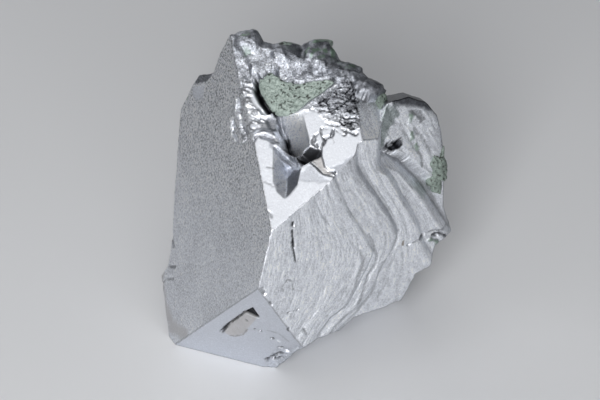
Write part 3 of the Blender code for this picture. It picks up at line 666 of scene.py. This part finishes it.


# the hole and its painted shade, the valley and grooves down the lobe in painted shade, its dark top, its
# dusty side, also in painted shade, and green crumbs
lobeMarks = [
    patch([(24.3, 16.2), (24.9, 16.9), (26.2, 16.9), (27.6, 17.8), (27.7, 16.2), (26.4, 15.0), (25.0, 14.9)],
          soft=0.4, sink=0.7, rough=0.15),
    patch(hole, grime=1, rough=0.3),
    band([(25.4, 15.9), (26.0, 16.1)], 0.45, sink=-0.1, grime=0.55),
    band(valley[:6], 0.7, grime=0.45, rough=0.25),
    band([(26.4, 20.9), (28.0, 19.0), (30.4, 16.6), (33.2, 14.2), (34.3, 12.0)], 0.45, sink=0.1, grime=0.45,
         rough=0.3),
    band([(30.1, 19.8), (33.2, 17.3), (35.6, 14.8)], 0.35, sink=0.08, grime=0.35, rough=0.4),
    band([(28.6, 15.9), (33.0, 12.4), (35.8, 9.8)], 0.25, sink=0.05, grime=0.25, rough=0.3),
    patch([(22.0, 27), (27.7, 28), (32, 27), (36, 24.0), (33.6, 22.9), (32.0, 23.5), (30.1, 24.0),
           (27.2, 24.3), (23.8, 24.5)], soft=0.7, sink=0.35, grime=0.75, shine=0, rough=0.3, grit=1.6),
    patch([(27.4, 23.8), (30.4, 23.8), (32.6, 21.8), (30.9, 20.6), (29.4, 22.2), (28.0, 22.2)], sink=0.05,
          grime=0.4, tone=-0.6, rough=0.5),
    patch([(20.8, 26.0), (24.6, 24.6), (26.0, 22.8), (24.6, 20.0), (24.0, 15.4), (20.8, 15.4)], soft=0.8,
          dust=0.3, grime=0.4, grit=1.8, shine=0.2, rough=0.8),
    band([(28.2, 22.8), (28.6, 21.6)], 0.7, dust=0.8, sink=-0.1, rough=0.5),
    band([(29.6, 18.8), (30.0, 17.6)], 0.55, dust=0.8, sink=-0.1, rough=0.5),
    band([(31.2, 16.4), (31.9, 15.4)], 0.5, dust=0.9, grime=0.2, sink=-0.1, rough=0.5),
]


def lobeFace(x, y):
    # Rounded towards its rim, with grooves and fibres that run down to the right.
    growth = 0.66 * x + 0.75 * y + 0.6 * fractal(x, y, 4, 74, 3)
    along = 0.75 * x - 0.66 * y
    fibres = valueNoise(growth * 1.3, along * 0.15, 75) + 0.7 * valueNoise(growth * 3, along * 0.4, 76)
    inside = np.abs(sideOf(lobeOutline[5:], x, y))
    height = (0.1 * fibres + 0.12 * fractal(x, y, 1.6, 77, 4, 0.6)
              - 1.0 * np.exp(-np.clip(inside, 0, None) / 0.8))
    maps = {"height": height, "tone": 0.4 * fibres + 0.6 * fractal(x, y, 0.8, 78, 3, 0.7) + 0.3,
            "shine": 0.9 + 0 * x, "grit": 1.1 + 0 * x, "fibre": 0.8 + 0 * x, "growth": growth}
    return paint(maps, x, y, lobeMarks, 79)


# outlines across and up: the crystal beyond the left and right faces, and the lobe
leftEdge = [(-24, 35), (-30.4, 28.2), (-32.4, 23.6), (-33.3, 19.0), (-38.6, 16.3), (-40.4, 13), (-42.6, 7),
            (-41, 1.5), (-37.3, -11.4), (-35, -17.9), (-34.3, -23.8), (-36, -26.7), (-33.8, -29.6),
            (-29, -35.5), (-24, -44), (60, -60), (60, 60), (-24, 60)]
rightEdge = [(4, -44), (11.3, -32.6), (14.9, -27.9), (19.1, -25.1), (23.9, -23.7), (26.5, -20.9),
             (36.8, -17.4), (38.7, -11.4), (41.7, -9.8), (41.8, -5.3), (45.1, -2.2), (42, 2.6), (38.3, 14.5),
             (34.6, 22), (30.5, 24.9), (24, 25.4), (22, 34), (22, 60), (-60, 60), (-60, -60), (4, -60)]
lobeOutline = [(21.6, 25.0), (22.0, 15.6), (28, 13.6), (35.6, 9.2), (38.6, 7), (40.6, 9), (39.4, 13),
               (36.8, 19), (34.6, 22.8), (31.2, 25.4), (27, 26.3)]

print("making the faces' maps")
faces = [
    makeFace((1, 1, 1), 0, (-1, 1, 0), (-26, 20, -6, 44), 0.1, largeFace),
    makeFace((0, 1, 0), 0, (-1, 0, 0), (-3, 58, -44, 34), 0.1, rightFace),
    makeFace((1, 0, 0), 0, (0, 1, 0), (-48, 4, -46, 40), 0.1, leftFace),
    makeFace((1, 1, -1), 12.05, (-1, 1, 0), (-22, 26, -46, 0), 0.1, lowerFace),
    makeFace((0, 0, 1), 28.8, (0, 1, 0), (-50, 4, -4, 56), 0.15, topFace),
    makeFace((0, 1, 1), 16.8, (-1, 0, 0), (-4, 60, 0, 50), 0.15, greyPatch),
    makeFace((-0.3234, -0.1497, -0.9344), 38.35, (0, 1, 0), (-50, 50, -50, 50), 0.25, baseFace),
    makeFace((-1, 0, 0), 46.4, (0, -1, 0), (-50, 50, -50, 50), 0.25, backFace),
    makeFace((-1, -0.15, 1), 50, (0, -1, 0), (-50, 50, -50, 70), 0.25, backFace),
    makeFace((-1, -1, 1), 62, (1, -1, 0), (-50, 50, -50, 70), 0.25, backFace),
    makeFace((-1, -1, -1), 90, (1, -1, 0), (-60, 60, -60, 60), 0.25, backFace),
    makeEdge((0.1, 1, 0), (0.05, 0, 1), (-0.3, -0.15), leftEdge, (-50, 10, -50, 45), 0.15, 0.25),
    makeEdge((-1, 0.64, 0), (0, -0.42, 1), (2.56, -1.68), rightEdge, (-20, 60, -60, 50), 0.15, 0.3),
]
lobe = [  # its front, its back and its outline
    makeFace((0, 1, 0), -4.4, (-1, 0, 0), (18, 46, 0, 32), 0.1, lobeFace),
    makeFace((0, -1, 0), 16.0, (-1, 0, 0), (-10, 80, -30, 60), 0.5, baseFace),
    makeEdge((-1, 0.534, 0), (0, -0.293, 1), (2.35, -1.29), lobeOutline, (16, 48, 0, 34), 0.1, 0.2),
]

crest = {
    "from": 23,  # mm along the cube's Z axis, above which there are lumps
    "lumps": [  # centre and half sizes, from left to right
        ((-3.3, -27.7, 27.4), (3.0, 3.4, 2.6)),
        ((-9.5, -22.0, 27.4), (4.2, 3.6, 2.0)),
        ((-14.5, -19.0, 27.4), (4.4, 4.6, 3.6)),
        ((-17.0, -14.0, 27.2), (3.6, 4.0, 2.2)),
        ((-20.2, -9.8, 26.0), (3.7, 3.7, 1.9)),
    ],
    "join": 0.5,  # mm over which a lump runs into the crystal
    "foot": (-18.5, -7.5, 24.9),  # the last lump's foot, which painted shade darkens
}
rearSteps = [  # corners of the blocks that are missing at the back
    ((-48, -44, -8), (-36.5, -30, 12)),
    ((-34, -46, -14), (-20, -35.5, 7)),
    ((-48, -31, 8), (-38.5, -20, 24)),
    ((-26, -40, 9), (-14, -31, 20)),
    ((-33, -28, 17), (-22, -17, 32)),
]


def mainAt(points):
    # The most that a point stands out of any face, with rounded edges, or into a missing block: below 0
    # inside.
    level = standing(faces[0], points)
    for face in faces[1:]:
        level = softMax(level, standing(face, points), 0.12)
    for low, high in rearSteps:
        level = np.maximum(level, -np.maximum(np.array(low) - points, points - np.array(high)).max(1))
    return level


def lumpAt(centre, radii, points):
    # Below 0 inside a ball stretched by its radii, made uneven by noise on the three axes.
    away = (points - np.array(centre)) / np.array(radii)
    rough = 0.18 * solidNoise(points, 2.6, 101) + 0.06 * solidNoise(points, 0.9, 105)
    return (np.linalg.norm(away, axis=1) - 1 - rough) * min(radii)


def lobeAt(points):
    # The most that a point stands out of the lobe's faces: below 0 inside.
    part = standing(lobe[0], points)
    for face in lobe[1:]:
        part = softMax(part, standing(face, points), 0.3)
    return part


def solidAt(points, main):
    # Below 0 inside the crystal: the faces' body, the lobe and the crest's lumps together.
    level = -softMax(-main, -lobeAt(points), 0.4)
    high = points[:, 2] > crest["from"]
    if high.any():
        for centre, radii in crest["lumps"]:
            level[high] = -softMax(-level[high], -lumpAt(centre, radii, points[high]), crest["join"])
    return level


shell = {  # the crystal's surface is cast from a centre, as the six sides of a cube round it
    "centre": np.array((-24.0, -22.0, -5.0)),
    "front": np.array((0.527, 0.773, 0.353)),
    "cells": 256,
    "shortest": 0.35,  # mm of a step along a ray
    "start": 5.0,  # mm along every ray that are surely inside
    "farthest": 75,
    "halvings": 10,
}


def patchDirections(axis, right):
    # One side of a cube around the centre, its squares laid out at equal angles: the tangent of the angle
    # from the side's middle is the place on the side.
    angles = np.tan(np.linspace(-1, 1, shell["cells"] + 1) * np.pi / 4)
    x, y = np.meshgrid(angles, angles, indexing="ij")
    rays = axis + x[..., None] * right + y[..., None] * np.cross(axis, right)
    return (rays / np.linalg.norm(rays, axis=-1, keepdims=True)).reshape(-1, 3)


def safeStep(points, rays):
    # How far each ray can go before any face could be near: to the lowest level of a flat face's map, or the
    # room inside an outline.
    room = np.full(len(points), 1e3)
    for face in faces:
        if face["out"].any():
            rate = rays @ face["out"]
            gap = face["reach"] + face["lowest"] - 0.3 - points @ face["out"]
            room = np.minimum(room, np.where(rate > 1e-3, gap / np.maximum(rate, 1e-3), 1e3))
        else:
            room = np.minimum(room, readMap(face, ["height"], points)[0] / 1.3 - 0.5)
    return np.maximum(room, shell["shortest"])


def castOut(rays):
    # Steps outwards along each ray until the point leaves the crystal, then halves the last step.
    low, high = np.zeros(len(rays)), np.zeros(len(rays))
    left = np.arange(len(rays))
    distance = np.full(len(rays), shell["start"])
    while len(left):
        points = shell["centre"] + rays[left] * distance[left, None]
        main = mainAt(points)
        outside = (solidAt(points, main) > 0) | (distance[left] > shell["farthest"])
        high[left[outside]] = distance[left[outside]]
        points, main, left = points[~outside], main[~outside], left[~outside]
        low[left] = distance[left]
        step = safeStep(points, rays[left])
        near = boxRoom(points) < step
        step[near] = shell["shortest"]
        distance[left] += step
    for _ in range(shell["halvings"]):
        middle = (low + high) / 2
        points = shell["centre"] + rays * middle[:, None]
        outside = solidAt(points, mainAt(points)) > 0
        low, high = np.where(outside, low, middle), np.where(outside, middle, high)
    return shell["centre"] + rays * high[:, None]


def boxRoom(points):
    # The distance to the nearest missing block.
    rooms = [np.linalg.norm(np.maximum(np.maximum(np.array(a) - points, points - np.array(b)), 0), axis=1)
             for a, b in rearSteps]
    return np.min(rooms, axis=0)


def finishAt(points):
    # Each finish is read from the faces that meet at the point, the highest counting most. Where two meet
    # evenly, painted shade darkens the rounded edge and hides its bright line.
    layers = faces + lobe[:1] + lobe[2:]
    heights = np.stack([standing(face, points) for face in layers])
    inLobe = lobeAt(points) < mainAt(points)
    heights[: len(faces), inLobe] -= 50
    heights[len(faces) :, ~inLobe] -= 50
    weights = np.exp((heights - heights.max(0)) / 0.08)
    weights /= weights.sum(0)
    mixed = np.zeros((len(finishes), len(points)))
    for face, weight in zip(layers, weights):
        used = weight > 0.01
        mixed[:, used] += weight[used] * np.stack(readMap(face, finishes, points[used]))
    found = dict(zip(finishes, mixed))
    ranked = np.partition(heights, -2, axis=0)
    found["grime"] = found["grime"] + 0.5 * (1 - ease(ranked[-1] - ranked[-2], 0.02, 0.2))
    lumps = np.min([lumpAt(centre, radii, points) for centre, radii in crest["lumps"]], axis=0)
    onLump = ease(-lumps, -0.35, -0.05)
    # Painted shade darkens the lumps behind the large face and at the far end, but not beside the left face,
    # and also the last lump's foot and the slopes in front of the lumps.
    behind = onLump * np.maximum(ease(-heights[0], 0.1, 1.6), 0.9 * ease(-points[:, 0], 15.5, 18))
    behind = behind * ease(-points[:, 0], 3.0, 5.5)
    foot = 1 - ease(np.linalg.norm(points - np.array(crest["foot"]), axis=1), 1.2, 2.6)
    foot = foot * ease(points[:, 2], 23.5, 24.3)
    slopes = ease(-lumps, -1.8, -0.3) * ease(-points[:, 0], 6.5, 9)
    for share, dark, size, seed in ((foot, 0.6, 0.8, 116), (slopes, 0.36, 0.9, 117),
                                    (behind, 0.42, 1.2, 115)):
        atLeast(found, "grime", share * (dark + 0.3 * solidNoise(points, size, seed)))
    found["shine"] = found["shine"] * (1 - 0.8 * onLump)
    atLeast(found, "grit", 1.5 * onLump)
    high = onLump * ease(points[:, 2], 28.8, 30.4) * ease(-points[:, 0], 6, 8)
    atLeast(found, "dust", high * ease(solidNoise(points, 1.0, 111), 0.1, 0.4))
    return found


def gridFaces(side):
    # Squares between the points of a grid, with their corners in one order.
    index = np.arange(side * side).reshape(side, side)
    return np.stack([index[:-1, :-1], index[1:, :-1], index[1:, 1:], index[:-1, 1:]],
                    -1).reshape(-1, 4).tolist()


def makePiece(name, points, corners, node, attributes):
    # Turns points in mm on the cube axes to the way that the crystal stands, and makes the mesh in metres.
    world = (points @ turn.T + np.array(crystal["place"])) * mm
    world = np.clip(world, np.array(cadBox[0]), np.array(cadBox[1]))
    mesh = bpy.data.meshes.new(name)
    mesh.from_pydata(world.tolist(), [], corners)
    mesh.polygons.foreach_set("use_smooth", np.ones(len(mesh.polygons), bool))
    for key, values in attributes.items():
        layer = mesh.attributes.new(key, "FLOAT", "POINT")
        layer.data.foreach_set("value", values.astype(np.float32))
    mesh.update()
    piece = bpy.data.objects.new(name, mesh)
    bpy.context.scene.collection.objects.link(piece)
    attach(piece, "root")
    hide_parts(node)
    return piece


pieces = {}
ahead = shell["front"] / np.linalg.norm(shell["front"])
aside = np.cross((0, 0, 1), ahead)
aside = aside / np.linalg.norm(aside)
above = np.cross(ahead, aside)
for name, axis, right in (("front", ahead, aside), ("east", aside, -ahead), ("back", -ahead, -aside),
                          ("west", -aside, ahead), ("top", above, aside), ("foot", -above, aside)):
    points = castOut(patchDirections(axis, right))
    name = "galena_" + name
    pieces[name] = makePiece(name, points, gridFaces(shell["cells"] + 1), "galena",
                             finishAt(points))
    print(name, "made")

# mm between pits, and how rare and sharp they are
crustGrains = {"size": 0.38, "seed": 95, "from": 0.66, "to": 0.84}


def pitsAt(points):
    # Small pits where a fine noise is high.
    return ease(solidNoise(points, crustGrains["size"], crustGrains["seed"]), crustGrains["from"],
                crustGrains["to"])


def ringFaces(rings, columns):
    # Squares between neighbouring rings of points, a fan from the first point of all and a fan to the last.
    ring = np.arange(columns)
    nextRing = (ring + 1) % columns
    starts = 1 + np.arange(rings - 1)[:, None] * columns
    quads = np.stack([starts + ring, starts + columns + ring, starts + columns + nextRing,
                      starts + nextRing], -1)
    foot = 1 + (rings - 1) * columns
    first = np.stack([0 * ring, 1 + ring, 1 + nextRing], -1)
    last = np.stack([0 * ring + foot + columns, foot + nextRing, foot + ring], -1)
    return quads.reshape(-1, 4).tolist() + first.tolist() + last.tolist()


def grainyLump(centre, radii, lean, seed, rows=90, columns=140):
    # A ball by latitude and turn, stretched, with lumps and pits along its own rays. It leans by a share of
    # its height.
    tilt, spin = np.meshgrid(np.linspace(0, np.pi, rows), np.linspace(0, 2 * np.pi, columns + 1)[:-1],
                             indexing="ij")
    ball = np.stack([np.sin(tilt) * np.cos(spin), np.sin(tilt) * np.sin(spin), np.cos(tilt)],
                    -1).reshape(-1, 3)
    ball = np.concatenate([ball[columns - 1 : columns], ball[columns:-columns], ball[-1:]])
    place = ball * radii
    swell = 0.17 * solidNoise(place, 1.6, seed) + 0.07 * solidNoise(place, 0.7, seed + 5)
    points = centre + place * (0.9 + swell - 0.08 * pitsAt(place + centre))[:, None]
    points[:, 0] += lean * (points[:, 2] - centre[2])
    return points, ringFaces(rows - 2, columns)


def pocketFilling(rings, columns):
    # The pocket's outline drawn in towards its middle ring by ring, over an uneven top and back under. It
    # stops short of the open gap.
    mouth = np.array(pocket["mouth"] + pocket["mouth"][:1])
    lengths = np.concatenate([[0], np.cumsum(np.linalg.norm(np.diff(mouth, axis=0), axis=1))])
    along = np.linspace(0, lengths[-1], columns + 1)[:-1]
    rim = np.stack([np.interp(along, lengths, mouth[:, k]) for k in (0, 1)], -1)
    middle = rim.mean(0)
    away = np.abs(sideOf(pocket["cleft"], rim[:, 0], rim[:, 1]))
    reach = 1.01 - 0.11 * np.exp(-((away / 1.2) ** 2)) + 0.02 * fractal(along, 0 * along, 0.8, 93, 3)
    rim = middle + (rim - middle) * reach[:, None]
    share = np.linspace(0, 1, rings)[1:]
    x, y = np.moveaxis(middle + (rim - middle) * share[:, None, None], -1, 0)
    edge = (1 - share[:, None]) * np.linalg.norm(rim - middle, axis=1)
    height = (-0.25 - 0.9 * np.exp(-edge / 0.35) + 0.3 * fractal(x, y, 3, 91, 3)
              + 0.3 * fractal(x, y, 0.8, 92, 4, 0.75)
              - 0.4 * ease(-x, 8.5, 12) - 0.3 * ease(fractal(x, y, 0.6, 94, 2), 0.45, 0.6))
    under = np.column_stack([middle + (rim - middle) * 0.8, np.full(columns, pocket["bottom"])])
    flat = np.concatenate([[[*middle, height[0].mean()]], np.dstack([x, y, height]).reshape(-1, 3), under,
                           [[*middle, pocket["bottom"]]]])
    axes = np.stack([faces[0]["right"], faces[0]["up"], faces[0]["out"]])
    return flat @ axes, ringFaces(rings, columns)


crusts = {  # centre, half sizes, lean and how dark
    "sphalerite_crust": ((-38.4, -5.9, 10.8), (2.7, 2.7, 6.0), 0.2, 0.65),
    "sphalerite_notch": ((-22.6, -7.4, 23.6), (1.5, 1.7, 2.6), 0, 0.9),
    "sphalerite_ridge_west": ((-8.6, -23.2, 29.1), (1.7, 1.2, 0.8), 0, 0.5),
    "sphalerite_ridge_east": ((-15.2, -20.8, 30.7), (2.8, 1.5, 0.8), 0, 0.5),
    "sphalerite_shoulder": ((-1.4, -41.6, 8.0), (1.1, 1.2, 1.6), 0, 0.5),
}
grainy = {node: (*grainyLump(np.array(centre), np.array(radii), lean, 81), shade)
          for node, (centre, radii, lean, shade) in crusts.items()}
grainy["sphalerite_pocket"] = (*pocketFilling(pocket["rings"], pocket["columns"]), pocket["shade"])
for node, (points, corners, shade) in grainy.items():
    look = {"shade": np.full(len(points), shade), "pits": pitsAt(points)}
    pieces[node] = makePiece(node.replace("sphalerite", "grainy"), points, corners, node, look)
print("sphalerite made")


def hexColour(code):
    # sRGB hex to linear: each channel over 255, then over 12.92 if it is dark, or else raised to 2.4.
    values = [int(code[i : i + 2], 16) / 255 for i in (0, 2, 4)]
    return tuple(v / 12.92 if v <= 0.04045 else ((v + 0.055) / 1.055) ** 2.4 for v in values) + (1.0,)


def addNode(tree, kind, settings):
    # Adds a node. Each setting fills a property or an input, and another node's output is joined to the
    # input.
    node = tree.nodes.new(kind)
    for key, value in settings.items():
        if isinstance(value, bpy.types.NodeSocket):
            tree.links.new(node.inputs[key], value)
        elif isinstance(key, str) and hasattr(node, key):
            setattr(node, key, value)
        else:
            node.inputs[key].default_value = value
    return node


def newMaterial(name):
    # A material with an empty node tree.
    material = bpy.data.materials.new(name)
    material.use_nodes = True
    material.node_tree.nodes.clear()
    return material, material.node_tree


def attribute(tree, name):
    # A finish that was stored at the mesh's points.
    return addNode(tree, "ShaderNodeAttribute", {"attribute_name": name}).outputs["Fac"]


def maths(tree, operation, *values):
    # The result of a maths node on numbers and other nodes' outputs.
    return addNode(tree, "ShaderNodeMath", {"operation": operation, **dict(enumerate(values))}).outputs[0]


def layered(tree, share, under, over):
    # One colour over another by a share.
    return addNode(tree, "ShaderNodeMix", {"data_type": "RGBA", 0: share, 6: under, 7: over}).outputs[2]


def noiseTexture(tree, place, scale, detail, roughness=0.5):
    # Blender's fractal noise: its value first and its colour second.
    return addNode(tree, "ShaderNodeTexNoise", {"Vector": place, "Scale": scale, "Detail": detail,
                                                "Roughness": roughness}).outputs


def stretched(tree, value, low, high):
    # Rises from 0 at low to 1 at high in a straight line.
    return addNode(tree, "ShaderNodeMapRange", {"Value": value, "From Min": low, "From Max": high}).outputs[0]


def surface(tree, settings):
    # Joins the shader with these settings to the material's output.
    shader = addNode(tree, "ShaderNodeBsdfPrincipled", settings)
    addNode(tree, "ShaderNodeOutputMaterial", {"Surface": shader.outputs[0]})


galenaLook = {
    "etched": "C0C4CD",  # the metal where it is matt
    "fresh": "E9ECF2",  # and where it is bright
    "stain": "B9B0A6",
    # near black: the painted shade in hollows, cracks, on risers and along creases, and grime
    "grime": "26272B",
    "dust": "7F9484",
    "roughness": 0.42,
    "grain": 0.34,  # mm across the grains of the etched surface
    "fleck": 0.42,  # mm between the flecks that catch the light or lie in shade
    "threads": 2.6,  # growth threads to a mm
    "relief": 0.12,  # mm
}


def galenaMaterial(look):
    # Galena is lead sulphide: an opaque lead-grey metal to the eye, bright on fresh faces and matt where it
    # is etched or tarnished. The metal's colour comes from the face, and fine grains and fibres break it up.
    material, tree = newMaterial("galena")
    place = addNode(tree, "ShaderNodeTexCoord", {}).outputs["Object"]
    read = {name: attribute(tree, name) for name in finishes}
    grains = noiseTexture(tree, place, 1 / (look["grain"] * mm), 4.0, 0.7)[0]
    # The threads' pattern changes fast across the growth lines. Along them it changes by 1 in 4 mm of X and
    # by 1 in 2 mm of Z.
    axes = addNode(tree, "ShaderNodeSeparateXYZ", {0: place}).outputs
    across = maths(tree, "MULTIPLY", read["growth"], look["threads"])
    along = maths(tree, "MULTIPLY_ADD", axes[0], 0.25 / mm, maths(tree, "MULTIPLY", axes[2], 0.5 / mm))
    threads = addNode(tree, "ShaderNodeCombineXYZ", {0: across, 1: along}).outputs[0]
    fibres = noiseTexture(tree, threads, 1.0, 2.0, 0.6)[0]
    # Bright and dark flecks in the metal's colour: painted glints and painted shade, as strong as the grit
    # finish.
    flecks = noiseTexture(tree, place, 1 / (look["fleck"] * mm), 1.0)[1]
    spots = addNode(tree, "ShaderNodeSeparateColor", {0: flecks}).outputs
    bright, dark = stretched(tree, spots[0], 0.66, 0.74), stretched(tree, spots[1], 0.62, 0.74)
    # Gain is 1, plus each pattern less its middle times its strength and finish, plus a fifth of the tone.
    gain = 1.0
    for pattern, middle, strength, finish in ((grains, 0.5, 1.5, "grit"), (fibres, 0.5, 0.6, "fibre"),
                                              (bright, 0.0, 0.5, "grit"), (dark, 0.0, -0.1, "grit")):
        part, share = (maths(tree, "SUBTRACT", pattern, middle),
                       maths(tree, "MULTIPLY", read[finish], strength))
        gain = maths(tree, "MULTIPLY_ADD", part, share, gain)
    gain = maths(tree, "MULTIPLY_ADD", read["tone"], 0.2, gain)
    base = layered(tree, read["shine"], hexColour(look["etched"]), hexColour(look["fresh"]))
    base = addNode(tree, "ShaderNodeVectorMath", {"operation": "SCALE", 0: base, "Scale": gain}).outputs[0]
    for layer in ("stain", "grime", "dust"):
        base = layered(tree, read[layer], base, hexColour(look[layer]))
    # The relief is made by the grains, whose strength is held at 2.2, and by the fibres.
    rise = maths(tree, "MULTIPLY", grains, maths(tree, "MINIMUM", read["grit"], 2.2))
    relief = maths(tree, "MULTIPLY_ADD", fibres, read["fibre"], rise)
    bump = addNode(tree, "ShaderNodeBump", {"Strength": 0.6, "Distance": look["relief"] * mm,
                                            "Height": relief})
    surface(tree, {"Metallic": 1.0, "Roughness": look["roughness"], "Base Color": base,
                   "Normal": bump.outputs[0]})
    return material


sphaleriteLook = {
    "dark": "616E68",  # between the grains
    "pale": "B9C6BF",  # on the grains
    "shade": "545F58",  # the darker crusts
    "pits": "2C302C",
    "roughness": 0.6,
    "grain": 0.5,  # mm
    "relief": 0.2,  # mm
}


def sphaleriteMaterial(look):
    # Sphalerite is zinc sulphide: here a crust of tiny grains, dull to waxy, pale grey-green and darker in
    # its pits.
    material, tree = newMaterial("sphalerite")
    place = addNode(tree, "ShaderNodeTexCoord", {}).outputs["Object"]
    spots = noiseTexture(tree, place, 1 / (look["grain"] * mm), 3.0, 0.75)[0]
    base = layered(tree, stretched(tree, spots, 0.28, 0.72), hexColour(look["dark"]), hexColour(look["pale"]))
    for layer in ("shade", "pits"):
        base = layered(tree, attribute(tree, layer), base, hexColour(look[layer]))
    bump = addNode(tree, "ShaderNodeBump", {"Strength": 1.0, "Distance": look["relief"] * mm,
                                            "Height": spots})
    surface(tree, {"Roughness": look["roughness"], "Base Color": base, "Normal": bump.outputs[0]})
    return material


galena, sphalerite = galenaMaterial(galenaLook), sphaleriteMaterial(sphaleriteLook)
for name, piece in pieces.items():
    piece.data.materials.append(galena if name.startswith("galena") else sphalerite)
print("materials made")

room = {"paper": "D3D4D6", "roughness": 0.7, "surroundings": "3C3E42"}

# A pale paper floor, which isn't part of the specimen.
floorMesh = bpy.data.meshes.new("floor")
floorMesh.from_pydata([(-3, -3, 0), (3, -3, 0), (3, 5, 0), (-3, 5, 0)], [], [(0, 1, 2, 3)])
floor = bpy.data.objects.new("floor", floorMesh)
bpy.context.scene.collection.objects.link(floor)
paper, tree = newMaterial("paper")
surface(tree, {"Base Color": hexColour(room["paper"]), "Roughness": room["roughness"]})
floorMesh.materials.append(paper)


def areaLight(name, place, aim, size, power):
    # A white panel at a place, turned to face a point.
    light = bpy.data.lights.new(name, "AREA")
    light.shape = "RECTANGLE"
    light.size, light.size_y = size
    light.energy = power
    lamp = bpy.data.objects.new(name, light)
    bpy.context.scene.collection.objects.link(lamp)
    lamp.location = place
    lamp.visible_camera = False
    lamp.rotation_euler = (Vector(aim) - Vector(place)).to_track_quat("-Z", "Y").to_euler()


lamps = {  # place, point that it faces, width and depth in metres, and brightness of its surface
    "overhead": ((-0.1, -0.16, 0.45), (0, 0, 0.03), (0.5, 0.5), 0.8),
    "front": ((-0.09, -0.43, 0.3), (0, 0, 0.02), (0.16, 0.16), 18.0),
    "wide": ((0, -0.9, 0.3), (0, 0, 0.03), (1.0, 0.6), 2.7),
    "behind": ((-0.25, 0.5, 0.4), (0, 0, 0.03), (0.5, 0.5), 1.4),
    "side": ((0.45, 0.08, 0.36), (0, 0, 0.03), (0.45, 0.45), 0.4),
}
for name, (place, aim, size, brightness) in lamps.items():
    areaLight(name, place, aim, size, brightness * math.pi * size[0] * size[1])
world = bpy.data.worlds.new("studio")
bpy.context.scene.world = world
world.use_nodes = True
world.node_tree.nodes["Background"].inputs[0].default_value = hexColour(room["surroundings"])
world.node_tree.nodes["Background"].inputs[1].default_value = 1.0

# metres, degrees and mm
view = {"place": (-0.000947, -0.394362, 0.338585), "turn": (52.0, 0, 0.02), "lens": 151.58}
camera = bpy.data.cameras.new("camera")
camera.sensor_width = 36.0
camera.lens = view["lens"]
camera.clip_start = 0.01
viewer = bpy.data.objects.new("camera", camera)
bpy.context.scene.collection.objects.link(viewer)
viewer.location = view["place"]
viewer.rotation_euler = [math.radians(angle) for angle in view["turn"]]
bpy.context.scene.camera = viewer
bpy.context.scene.view_settings.view_transform = "Standard"
print("floor, light and camera made")
